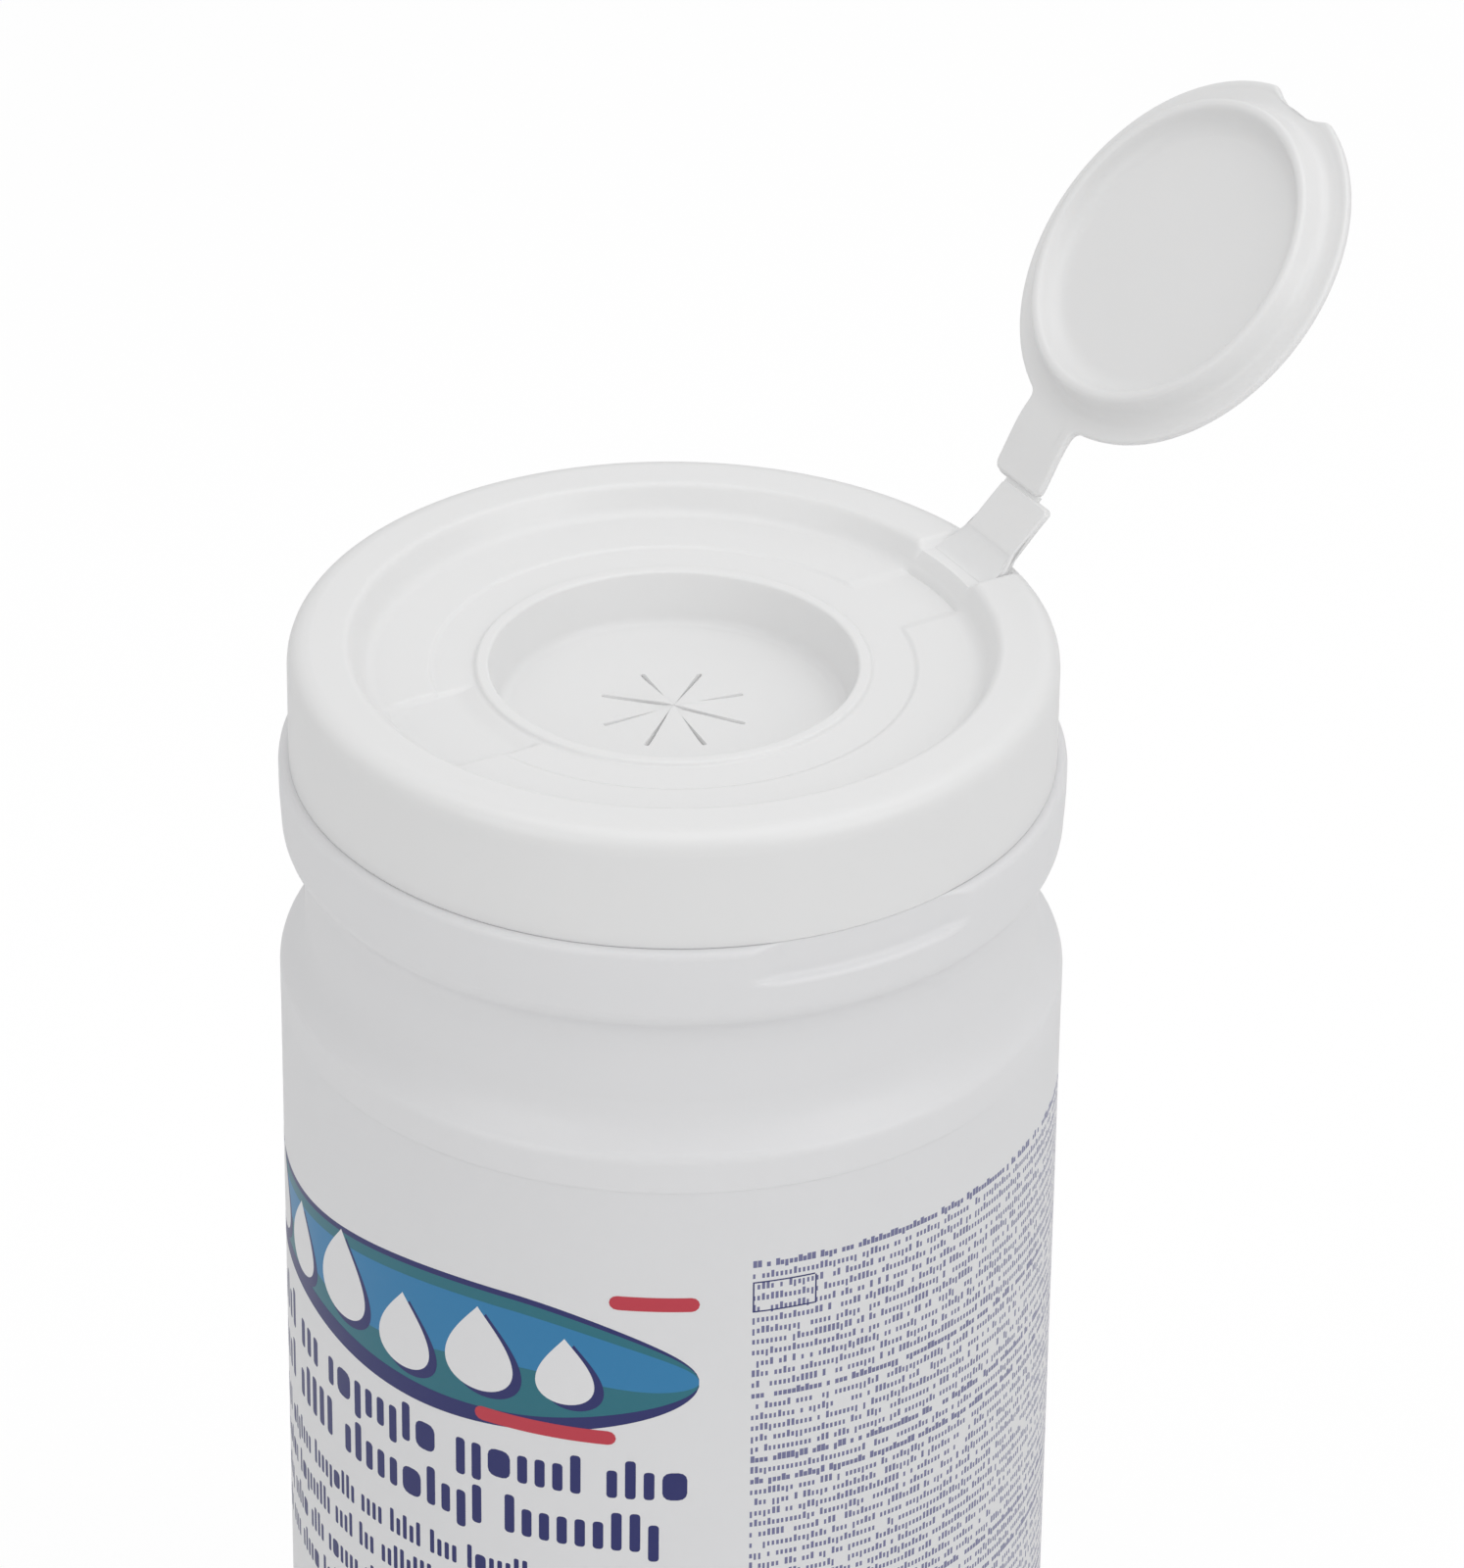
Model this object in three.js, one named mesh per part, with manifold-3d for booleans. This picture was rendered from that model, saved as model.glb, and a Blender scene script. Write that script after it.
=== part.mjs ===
// A round canister of disinfectant wipes: a blow moulded bottle with a film label and a roll of wipes
// inside, closed by a push-on dispensing cap whose flip lid hangs on a strap with two film hinges.
// Millimetres, +Z up. The origin is the centre of the base, and the strap stands towards +Y.
import * as THREE from "three";
import { mergeVertices } from "three/addons/utils/BufferGeometryUtils.js";
import Module from "manifold-3d";

const wasm = await Module();
wasm.setup();

// Clearances
const slipGap = 0.3;
const rollGap = 1.5;

// Bottle
const height = 225;
const bottleRadius = 53;
const bottleWall = 1.2;
const floorThickness = 1.4;
const footFillet = 3;
const footRingWidth = 8;
const footGrooveWidth = 9;
const footGrooveDepth = 1;
const footGrooveSlope = 2;
const shoulderDrop = 48;
const shoulderFillet = 1.5;
const shoulderSlope = 36;
const waistInset = 3.5;
const flareRadius = 14.4;
const beadInset = 0.2;
const beadTaper = 0.4;
const beadHeight = 11.2;
const beadRounding = 2.4;
const beadTopFillet = 0.5;

// Pry notch in the bead, where a thumb lifts the cap
const notchAzimuth = -1;
const notchAngle = 33;
const notchDepth = 4.7;

// Label
const labelThickness = 0.2;
const labelTopDrop = 53;
const labelBottom = 10;
const labelSeam = 1.5;
const labelSeamAzimuth = 149;

// Roll of wipes
const rollHeadSpace = 14.2;
const rollCoreRadius = 9;
const rollRidgeHeight = 1.2;
const rollRidges = 5;

// Cap
const capInset = 1.7;
const capHeight = 16.5;
const capSkirt = 1.7;
const capPlate = 1.3;
const capFillet = 2.5;
const rimWidth = 8.1;
const recessDepth = 3.8;
const recessSlope = 2.2;
const recessFillet = 0.5;
const seatMargin = 5.1;
const seatStep = 0.3;
const lipRadius = 26.2;
const lipWidth = 1.6;
const lipHeight = 0.6;
const wellDepth = 10.8;
const wellSlope = 1.4;
const sealRingWall = 1.2;
const sealRingDepth = 5;

// Star of slits in the well floor
const slitCount = 8;
const slitAzimuth = 39;
const slitReach = 10.2;
const slitWidth = 0.5;
const slitTipWidth = 0.2;

// Finger hollow in the recess, opposite the strap
const fingerWidth = 18;
const fingerMargin = 1;
const fingerCorner = 4;
const fingerDepth = 0.5;

// Strap between the cap and the lid
const openAngle = 47;
const strapThickness = 1;
const strapWidth = 11;
const strapLength = 10.5;
const strapInset = 3.3;
const strapEndShift = 0.6;
const strapFlare = 0.7;
const strapFlareLength = 3.2;
const strapCorner = 1;
const channelSideGap = 1;
const filmGrooveAngle = 37;

// Flip lid
const lidOverhang = 1;
const lidFlange = 1.1;
const lidRimFillet = 0.4;
const lidTabWidth = 11;
const lidTabShift = -2.6;
const plugGap = 1;
const plugTaper = 1.3;
const plugHeight = 3.6;
const plugWall = 1.2;
const lidPanelRise = 1;
const lidPanelRecess = 0.9;
const thumbNotchChord = 12.3;
const thumbNotchDepth = 2.3;
const thumbNotchShift = 0.9;

// Fineness of the round forms
const bottleSegments = 60;
const lidSegments = 48;
const rollSegments = 40;
const filletSteps = 3;

// Levels and radii that follow from the sizes above
const capRadius = bottleRadius - capInset;
const beadRadius = bottleRadius - beadInset;
const waistRadius = bottleRadius - waistInset;
const footRingInnerRadius = bottleRadius - footRingWidth;
const recessRadius = capRadius - rimWidth;
const recessFoot = recessRadius - recessSlope;
const fingerReach = recessFoot - fingerMargin;
const wellRadius = lipRadius - lipWidth;
const lidRadius = lipRadius + lidOverhang;
const seatRadius = lidRadius + seatMargin;
const plugFootRadius = wellRadius - plugGap;
const plugCrestRadius = plugFootRadius - plugTaper;
const capBottom = height - capHeight;
const beadTop = capBottom - slipGap;
const beadBottom = beadTop - beadHeight;
const shoulderTop = height - shoulderDrop;
const neckRadius = capRadius - capSkirt - slipGap;
const neckInnerRadius = neckRadius - bottleWall;
const channelDepth = strapThickness + slipGap;
const neckTop = height - channelDepth - capPlate - slipGap;
const panelRadius = bottleRadius - labelThickness - slipGap;
const labelTop = height - labelTopDrop;
const rollRadius = neckInnerRadius - rollGap;
const rollBottom = floorThickness + footGrooveDepth + slipGap;
const recessFloor = height - recessDepth;
const seatLevel = recessFloor - seatStep;
const lipLevel = seatLevel + lipHeight;
const wellLevel = height - wellDepth;
const rollTop = wellLevel - capPlate - rollHeadSpace;
const hingeRadius = capRadius - strapInset;
const hingeLevel = height - strapThickness / 2;
const lidUnderside = hingeLevel - lipLevel - slipGap;
const lidCentre = hingeRadius;

function radians(degrees) {
  return THREE.MathUtils.degToRad(degrees);
}

// Points of an arc in the plane of a profile, from one angle to another.
function arcPoints(centreR, centreZ, radius, fromDegrees, toDegrees, steps = filletSteps) {
  return Array.from({ length: steps + 1 }, (_, i) => {
    const angle = radians(fromDegrees + ((toDegrees - fromDegrees) * i) / steps);
    return [centreR + radius * Math.cos(angle), centreZ + radius * Math.sin(angle)];
  });
}

function polarPoint(radius, azimuth) {
  return [radius * Math.cos(radians(azimuth)), radius * Math.sin(radians(azimuth))];
}

// A profile of radius and height pairs, turned round the Z axis.
function turned(profile, segments) {
  const points = profile.map(([r, z]) => new THREE.Vector2(r, z));
  return new THREE.LatheGeometry(points, segments).rotateX(Math.PI / 2);
}

// A closed outline of X and Y pairs, raised from one level to another.
function raised(outline, bottom, top) {
  const shape = new THREE.Shape(outline.map(([x, y]) => new THREE.Vector2(x, y)));
  const geometry = new THREE.ExtrudeGeometry(shape, { depth: top - bottom, bevelEnabled: false });
  return geometry.translate(0, 0, bottom);
}

// A closed outline of Y and Z pairs, carried along X from one side to the other.
function carriedAlongX(outline, left, right) {
  return raised(outline, left, right).rotateY(Math.PI / 2).rotateX(Math.PI / 2);
}

function boxBetween(low, high) {
  const size = high.map((value, i) => value - low[i]);
  const centre = high.map((value, i) => (value + low[i]) / 2);
  return new THREE.BoxGeometry(...size).translate(...centre);
}

// A piece of a ring between two radii, two azimuths and two levels.
function ringSector(inner, outer, azimuth, angle, bottom, top) {
  const steps = 8;
  const start = azimuth - angle / 2;
  const outside = arcPoints(0, 0, outer, start, start + angle, steps);
  const inside = arcPoints(0, 0, inner, start + angle, start, steps);
  return raised([...outside, ...inside], bottom, top);
}

function solidOf(geometry) {
  const bare = geometry.clone();
  bare.deleteAttribute("normal");
  bare.deleteAttribute("uv");
  const merged = mergeVertices(bare, 1e-4);
  return new wasm.Manifold(
    new wasm.Mesh({
      numProp: 3,
      vertProperties: merged.attributes.position.array,
      triVerts: new Uint32Array(merged.index.array),
    }),
  );
}

function geometryOf(solid) {
  const mesh = solid.getMesh();
  const geometry = new THREE.BufferGeometry();
  geometry.setAttribute("position", new THREE.BufferAttribute(mesh.vertProperties, 3));
  geometry.setIndex(new THREE.BufferAttribute(mesh.triVerts, 1));
  geometry.computeVertexNormals();
  return geometry;
}

function piece(name, geometry, color, roughness) {
  const material = new THREE.MeshStandardMaterial({ color, roughness, metalness: 0 });
  const mesh = new THREE.Mesh(geometry, material);
  mesh.name = name;
  return mesh;
}

// The outside of the bottle: a ringed base, a straight wall with a sunk panel for the label, a
// shoulder that sweeps in to the waist, the bead under the cap, and the neck inside the cap.
function bottleOutside() {
  const grooveInner = footRingInnerRadius - footGrooveWidth;
  const panelStep = bottleRadius - panelRadius;
  const sweepAngle = 90 - shoulderSlope;
  const edgeRadius = bottleRadius - shoulderFillet * (1 - Math.cos(radians(sweepAngle)));
  const sweepDrop = flareRadius * Math.sin(radians(shoulderSlope));
  const sweepRun = flareRadius * (1 - Math.cos(radians(shoulderSlope)));
  const sweepTop = shoulderTop + sweepDrop;
  const edgeCentre = shoulderTop - shoulderFillet * Math.sin(radians(sweepAngle));
  const footWidth = bottleRadius - footFillet;
  const slopeRun = edgeRadius - waistRadius - sweepRun;
  const slopeRise = slopeRun / Math.tan(radians(shoulderSlope));
  const waistBottom = sweepTop + slopeRise;
  return [
    [0, 0],
    [grooveInner, 0],
    [grooveInner + footGrooveSlope, footGrooveDepth],
    [footRingInnerRadius - footGrooveSlope, footGrooveDepth],
    [footRingInnerRadius, 0],
    ...arcPoints(footWidth, footFillet, footFillet, -90, 0),
    [bottleRadius, labelBottom - slipGap - panelStep],
    [panelRadius, labelBottom - slipGap],
    [panelRadius, labelTop + slipGap],
    [bottleRadius, labelTop + slipGap + panelStep],
    ...arcPoints(bottleRadius - shoulderFillet, edgeCentre, shoulderFillet, 0, sweepAngle),
    ...arcPoints(waistRadius + flareRadius, waistBottom, flareRadius, 180 + shoulderSlope, 180, 4),
    ...beadOutside(),
    [neckRadius, beadTop],
    [neckRadius, neckTop],
  ];
}

// The bead: a round lower corner out of the waist, a slightly tapered face and a small top fillet.
function beadOutside() {
  const lowRadius = beadRadius - beadTaper;
  const cornerRun = (lowRadius - waistRadius) / 2;
  return [
    [waistRadius, beadBottom - beadRounding],
    [waistRadius + cornerRun * 0.45, beadBottom - beadRounding * 0.45],
    [lowRadius - cornerRun * 0.6, beadBottom + beadRounding * 0.15],
    [lowRadius, beadBottom + beadRounding],
    ...arcPoints(beadRadius - beadTopFillet, beadTop - beadTopFillet, beadTopFillet, 0, 90, 2),
  ];
}

// The inside of the bottle, one wall in from the outside, from the neck down to the floor.
function bottleInside() {
  const wallRadius = panelRadius - bottleWall;
  const waistInner = waistRadius - bottleWall;
  const sweepDrop = flareRadius * Math.sin(radians(shoulderSlope));
  const grooveInner = footRingInnerRadius - footGrooveWidth;
  return [
    [neckInnerRadius, neckTop],
    [neckInnerRadius, beadTop - bottleWall],
    [beadRadius - beadTaper - bottleWall, beadTop - bottleWall * 2],
    [beadRadius - beadTaper - bottleWall, beadBottom + beadRounding],
    [waistInner, beadBottom - beadRounding],
    [waistInner, shoulderTop + sweepDrop + bottleWall * 2],
    [waistInner + bottleWall, shoulderTop + bottleWall],
    [wallRadius, shoulderTop - shoulderFillet - bottleWall * 3],
    [wallRadius, floorThickness + footFillet],
    [wallRadius - footFillet, floorThickness],
    [footRingInnerRadius, floorThickness],
    [footRingInnerRadius - footGrooveSlope, floorThickness + footGrooveDepth],
    [grooveInner + footGrooveSlope, floorThickness + footGrooveDepth],
    [grooveInner, floorThickness],
    [0, floorThickness],
  ];
}

// The bottle, with a walled notch let into the bead below the rim of the cap.
function canister() {
  const shell = solidOf(turned([...bottleOutside(), ...bottleInside()], bottleSegments));
  const notchFloor = beadTop - notchDepth;
  const lining = neckRadius - bottleWall;
  const liningAngle = notchAngle + (2 * bottleWall * 180) / (Math.PI * neckRadius);
  const liningFace = beadRadius - beadTaper - bottleWall / 2;
  const liningTop = beadTop - bottleWall / 2;
  const pocketWall = ringSector(
    lining, liningFace, notchAzimuth, liningAngle, notchFloor - bottleWall, liningTop,
  );
  const above = beadTop + beadHeight;
  const pocket = ringSector(neckRadius, beadRadius * 1.1, notchAzimuth, notchAngle, notchFloor, above);
  return geometryOf(shell.add(solidOf(pocketWall)).subtract(solidOf(pocket)));
}

// The label: a film sleeve in the sunk panel, with a narrow seam where its ends meet at the back.
function label() {
  const outer = panelRadius + slipGap + labelThickness;
  const inner = panelRadius + slipGap;
  const sleeve = turned(
    [
      [inner, labelBottom],
      [outer, labelBottom],
      [outer, labelTop],
      [inner, labelTop],
      [inner, labelBottom],
    ],
    bottleSegments,
  );
  const seam = boxBetween(
    [0, -labelSeam / 2, labelBottom - slipGap],
    [bottleRadius * 2, labelSeam / 2, labelTop + slipGap],
  ).rotateZ(radians(labelSeamAzimuth));
  return geometryOf(solidOf(sleeve).subtract(solidOf(seam)));
}

// The roll: one wound block with a core hole, whose turns show as ridges on its upper end.
function wipesRoll() {
  const pitch = (rollRadius - rollCoreRadius) / rollRidges;
  const ridges = Array.from({ length: rollRidges }, (_, i) => [
    [rollRadius - i * pitch, rollTop - rollRidgeHeight],
    [rollRadius - (i + 0.3) * pitch, rollTop],
    [rollRadius - (i + 0.7) * pitch, rollTop],
  ]).flat();
  const profile = [
    [rollCoreRadius, rollBottom],
    [rollRadius, rollBottom],
    ...ridges,
    [rollCoreRadius, rollTop - rollRidgeHeight],
    [rollCoreRadius, rollBottom],
  ];
  return turned(profile, rollSegments);
}

// The underside of the cap: well, recess and seal ring, then the inside of the skirt.
function capUnderside() {
  const wellFoot = wellRadius - wellSlope;
  const plateUnder = height - capPlate;
  const sealOuter = neckInnerRadius - slipGap;
  const skirtInner = capRadius - capSkirt;
  return [
    [0, wellLevel - capPlate],
    [wellFoot + capPlate, wellLevel - capPlate],
    [lipRadius, seatLevel - capPlate],
    [recessFoot + capPlate, seatLevel - capPlate],
    [recessRadius + capPlate, plateUnder],
    [sealOuter - sealRingWall, plateUnder],
    [sealOuter - sealRingWall, height - sealRingDepth],
    [sealOuter - sealRingWall / 2, height - sealRingDepth],
    [sealOuter, plateUnder - sealRingWall],
    [sealOuter, plateUnder],
    [skirtInner, plateUnder],
    [skirtInner, capBottom],
  ];
}

// The top of the cap: skirt, rounded rim, recess, seat step, raised lip and the well.
function capTopside() {
  return [
    [capRadius, capBottom],
    ...arcPoints(capRadius - capFillet, height - capFillet, capFillet, 0, 90, 4),
    [recessRadius + recessFillet, height],
    [recessRadius, height - recessFillet],
    [recessFoot + recessFillet * 0.6, recessFloor + recessFillet],
    [recessFoot - recessFillet, recessFloor],
    [seatRadius + seatStep, recessFloor],
    [seatRadius, seatLevel],
    [lipRadius + lipHeight / 2, seatLevel],
    [lipRadius, lipLevel],
    [wellRadius + lipHeight / 2, lipLevel],
    [wellRadius, lipLevel - lipHeight],
    [wellRadius - wellSlope, wellLevel],
    [0, wellLevel],
  ];
}

// The star of slits: one outline whose arms run out from the centre of the well floor.
function slitStar() {
  const pitch = 360 / slitCount;
  const crotchRadius = slitTipWidth / 2 / Math.sin(radians(pitch / 2));
  const endHalfAngle = THREE.MathUtils.radToDeg(slitWidth / 2 / slitReach);
  const outline = Array.from({ length: slitCount }, (_, i) => {
    const azimuth = slitAzimuth + i * pitch;
    return [
      ...arcPoints(0, 0, slitReach, azimuth - endHalfAngle, azimuth + endHalfAngle, 1),
      polarPoint(crotchRadius, azimuth + pitch / 2),
    ];
  }).flat();
  return raised(outline, wellLevel - capPlate * 2, wellLevel + capPlate);
}

// The finger hollow: a round-cornered patch sunk into the recess floor, in front of the lip.
function fingerHollow() {
  const half = fingerWidth / 2;
  const nearLip = -lipRadius - lipHeight;
  const outline = [
    [half, nearLip],
    [-half, nearLip],
    ...arcPoints(-half + fingerCorner, -fingerReach + fingerCorner, fingerCorner, 180, 270),
    ...arcPoints(half - fingerCorner, -fingerReach + fingerCorner, fingerCorner, 270, 360),
  ];
  return raised(outline, seatLevel - fingerDepth, height - recessFillet);
}

// The cap, with the strap's channel across its rim and seat and a pad that backs the channel.
function cap() {
  const channelHalf = strapWidth / 2 + channelSideGap;
  const padHalf = channelHalf + capPlate;
  const padTop = height - capPlate;
  const pad = boxBetween(
    [-padHalf, recessRadius, height - channelDepth - capPlate],
    [padHalf, capRadius - capSkirt + slipGap, padTop + slipGap / 2],
  );
  const rimChannel = boxBetween(
    [-channelHalf, recessFoot, height - channelDepth],
    [channelHalf, capRadius + capSkirt, height + channelDepth],
  );
  const seatChannel = boxBetween(
    [-channelHalf, lipRadius + lipHeight, seatLevel - slipGap / 2],
    [channelHalf, recessFoot, height - channelDepth / 2],
  );
  let body = solidOf(turned([...capUnderside(), ...capTopside()], bottleSegments));
  body = body.add(solidOf(pad));
  for (const cut of [rimChannel, seatChannel, slitStar(), fingerHollow()]) {
    body = body.subtract(solidOf(cut));
  }
  return geometryOf(body);
}

// The strap's own frame: the cap's hinge line is its X axis, +Y runs to the lid and +Z faces the
// side of the lid that carries the plug. Both hinge films lie at the back face.
const grooveRun = (strapThickness * Math.tan(radians(filmGrooveAngle)) + slipGap) / 2;

function hingeStrap() {
  const half = strapThickness / 2;
  const side = [
    ...arcPoints(0, 0, half, 90, 270, 6),
    [strapLength - slipGap / 2, -half],
    [strapLength - grooveRun, half],
  ];
  const rootHalf = strapWidth / 2;
  const beyond = strapWidth;
  const plate = solidOf(carriedAlongX(side, -beyond, beyond));
  const end = strapLength - strapCorner;
  const outline = [
    [-rootHalf - strapFlare, -strapThickness],
    [rootHalf + strapFlare, -strapThickness],
    [rootHalf + strapFlare, strapFlareLength * 0.3],
    [rootHalf + strapFlare * 0.3, strapFlareLength * 0.6],
    [rootHalf, strapFlareLength],
    [rootHalf + strapEndShift, end],
    [rootHalf + strapEndShift - strapCorner / 2, strapLength + strapCorner],
    [-rootHalf + strapEndShift + strapCorner / 2, strapLength + strapCorner],
    [-rootHalf + strapEndShift, end],
    [-rootHalf, strapFlareLength],
    [-rootHalf - strapFlare * 0.3, strapFlareLength * 0.6],
    [-rootHalf - strapFlare, strapFlareLength * 0.3],
  ];
  return geometryOf(plate.intersect(solidOf(raised(outline, -strapThickness, strapThickness))));
}

// The lid plate: flange with a thin raised edge, ring plug, and a panel that is sunk at the back.
function lidPlate() {
  const flangeTop = lidUnderside;
  const back = flangeTop - lidFlange;
  const plugInner = plugCrestRadius - plugWall;
  const panelEdge = plugInner - lidPanelRise;
  const crest = flangeTop + plugHeight;
  const edgeRise = lidRimFillet / 2;
  const profile = [
    [0, back + lidPanelRecess],
    [panelEdge - lidPanelRecess, back + lidPanelRecess],
    [panelEdge, back],
    [lidRadius - lidRimFillet, back],
    [lidRadius, back + lidRimFillet],
    [lidRadius, flangeTop],
    [lidRadius - edgeRise, flangeTop + edgeRise],
    [lidRadius - lidRimFillet * 2, flangeTop + edgeRise],
    [lidRadius - lidRimFillet * 3, flangeTop],
    [plugFootRadius, flangeTop],
    [plugCrestRadius + plugWall * 0.6, flangeTop + plugHeight * 0.35],
    [plugCrestRadius + plugWall * 0.35, crest - plugWall * 0.3],
    [plugCrestRadius, crest],
    [plugCrestRadius - plugWall * 0.5, crest],
    [plugInner, crest - plugWall * 0.6],
    [plugInner - plugWall * 0.3, flangeTop + lidPanelRise + plugWall * 0.6],
    [plugInner - plugWall, flangeTop + lidPanelRise],
    [0, flangeTop + lidPanelRise],
  ];
  return turned(profile, lidSegments).translate(0, lidCentre, 0);
}

// The lid's tab: it starts at the second film and rises to the level of the lid plate.
function lidTab() {
  const half = strapThickness / 2;
  const lidEdge = lidCentre - lidRadius;
  const overlap = lidFlange;
  const lidBack = lidUnderside - lidFlange;
  const side = [
    [strapLength + slipGap / 2, -half],
    [lidEdge, lidBack],
    [lidEdge + overlap * 2, lidBack],
    [lidEdge + overlap * 2, lidBack + strapThickness],
    [lidEdge, lidBack + strapThickness],
    [strapLength + grooveRun, half],
  ];
  const tabHalf = lidTabWidth / 2;
  return carriedAlongX(side, lidTabShift - tabHalf, lidTabShift + tabHalf);
}

// The notch in the far edge of the lid, where a finger pulls it open.
function thumbNotch() {
  const halfChord = thumbNotchChord / 2;
  const rimDrop = lidRadius - Math.sqrt(lidRadius ** 2 - halfChord ** 2);
  const sagitta = thumbNotchDepth - rimDrop;
  const radius = (halfChord ** 2 + sagitta ** 2) / (2 * sagitta);
  const centre = lidCentre + lidRadius - thumbNotchDepth + radius;
  const reach = lidUnderside + plugHeight;
  return new THREE.CylinderGeometry(radius, radius, reach * 2, lidSegments)
    .rotateX(Math.PI / 2)
    .translate(thumbNotchShift, centre, lidUnderside);
}

function flipLid() {
  const plate = solidOf(lidPlate());
  return geometryOf(plate.add(solidOf(lidTab())).subtract(solidOf(thumbNotch())));
}

// The lid and its strap stand open on the cap, both turned about the cap's hinge line.
function openLid(colors) {
  const group = new THREE.Group();
  group.add(piece("hinge_strap", hingeStrap(), colors.cap, 0.4));
  group.add(piece("flip_lid", flipLid(), colors.cap, 0.4));
  group.position.set(0, hingeRadius, hingeLevel);
  group.rotation.x = radians(openAngle);
  return group;
}

const colors = { bottle: 0xf0f0f1, label: 0xeceef3, wipes: 0xf6f6f4, cap: 0xf2f2f2 };
const wipesCanister = new THREE.Group();
wipesCanister.add(piece("canister", canister(), colors.bottle, 0.45));
wipesCanister.add(piece("label", label(), colors.label, 0.4));
wipesCanister.add(piece("wipes_roll", wipesRoll(), colors.wipes, 0.95));
wipesCanister.add(piece("cap", cap(), colors.cap, 0.4));
wipesCanister.add(openLid(colors));

export default wipesCanister;
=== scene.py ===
import bpy
import math
import numpy as np
from mathutils import Matrix, Vector


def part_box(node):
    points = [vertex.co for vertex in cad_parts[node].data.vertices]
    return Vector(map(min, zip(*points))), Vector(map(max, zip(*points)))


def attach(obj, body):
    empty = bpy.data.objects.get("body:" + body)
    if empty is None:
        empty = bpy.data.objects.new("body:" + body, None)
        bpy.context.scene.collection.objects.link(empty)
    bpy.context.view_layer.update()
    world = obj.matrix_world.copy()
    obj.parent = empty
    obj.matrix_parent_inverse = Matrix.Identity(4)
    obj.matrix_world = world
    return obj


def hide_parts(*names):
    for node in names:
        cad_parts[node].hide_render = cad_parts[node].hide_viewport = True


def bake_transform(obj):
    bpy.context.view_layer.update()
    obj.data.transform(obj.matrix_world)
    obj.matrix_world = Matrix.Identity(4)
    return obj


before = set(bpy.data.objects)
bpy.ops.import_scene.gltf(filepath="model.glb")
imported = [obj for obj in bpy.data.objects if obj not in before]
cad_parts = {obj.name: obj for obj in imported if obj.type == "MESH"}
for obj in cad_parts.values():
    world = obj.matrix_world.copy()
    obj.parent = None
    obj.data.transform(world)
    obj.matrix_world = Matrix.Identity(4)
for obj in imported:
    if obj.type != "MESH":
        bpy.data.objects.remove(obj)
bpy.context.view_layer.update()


# Camera
# A long lens looks down on the canister from the side of its pry notch, with the strap behind
# to the right. It is placed from the centre of the cap's top, and leans by less than a degree.
mm = 0.001
cap_low, cap_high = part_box("cap")
cap_top = cap_high[2]
view_azimuth = math.radians(59)
view_elevation = 0.536
view_roll = 0.012
view_distance = 1067.5 * mm
view_aside = 7.931 * mm
view_drop = 19.122 * mm
image_height = 1600
focal_pixels = 8221.4

view_right = Vector((math.cos(view_azimuth), math.sin(view_azimuth), 0))
view_ahead = Vector((
    -math.sin(view_azimuth) * math.cos(view_elevation),
    math.cos(view_azimuth) * math.cos(view_elevation),
    -math.sin(view_elevation),
))
view_up = view_right.cross(view_ahead)
camera_place = (
    Vector((0, 0, cap_top))
    + view_aside * view_right
    - view_drop * view_up
    - view_distance * view_ahead
)
leaning_right = view_right * math.cos(view_roll) + view_up * math.sin(view_roll)
leaning_up = view_up * math.cos(view_roll) - view_right * math.sin(view_roll)

# The sensor's width spans the picture's longer side, which is its height.
camera_data = bpy.data.cameras.new("camera")
camera_data.lens = focal_pixels / image_height * camera_data.sensor_width
camera = bpy.data.objects.new("camera", camera_data)
camera.matrix_world = Matrix.Translation(camera_place) @ Matrix((
    leaning_right, leaning_up, -view_ahead,
)).transposed().to_4x4()
bpy.context.scene.collection.objects.link(camera)
bpy.context.scene.camera = camera


# Bottle
# The real bottle is blown from white polyethylene in one piece: ringed base, straight wall,
# shoulder, waist and the bead under the cap, with a notch let into the bead for a thumb.
bottle_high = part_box("canister")[1]
bottle_radius = bottle_high[0]
bottle_wall = 1.2 * mm
bottle_columns = 480
base_foot = 45 * mm
base_groove = 36 * mm
base_thickness = 1.4 * mm
ring_depth = 1 * mm
neck_radius = 49.3 * mm
bead_top = cap_low[2] - 0.05 * mm
bead_bottom = bead_top - 11.2 * mm
bead_radius = bottle_radius - 0.3 * mm
waist_radius = 49.5 * mm
shoulder_top = cap_top - 48 * mm
label_low, label_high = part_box("label")
label_bottom = label_low[2]
label_top = label_high[2]
label_bed = 0.45 * mm
label_bed_edge = 0.03 * mm
notch_azimuth = math.radians(-1)
notch_half_angle = math.radians(19)
notch_floor = bead_top - 5.4 * mm
notch_back = 51.2 * mm
notch_side = math.radians(6)


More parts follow.
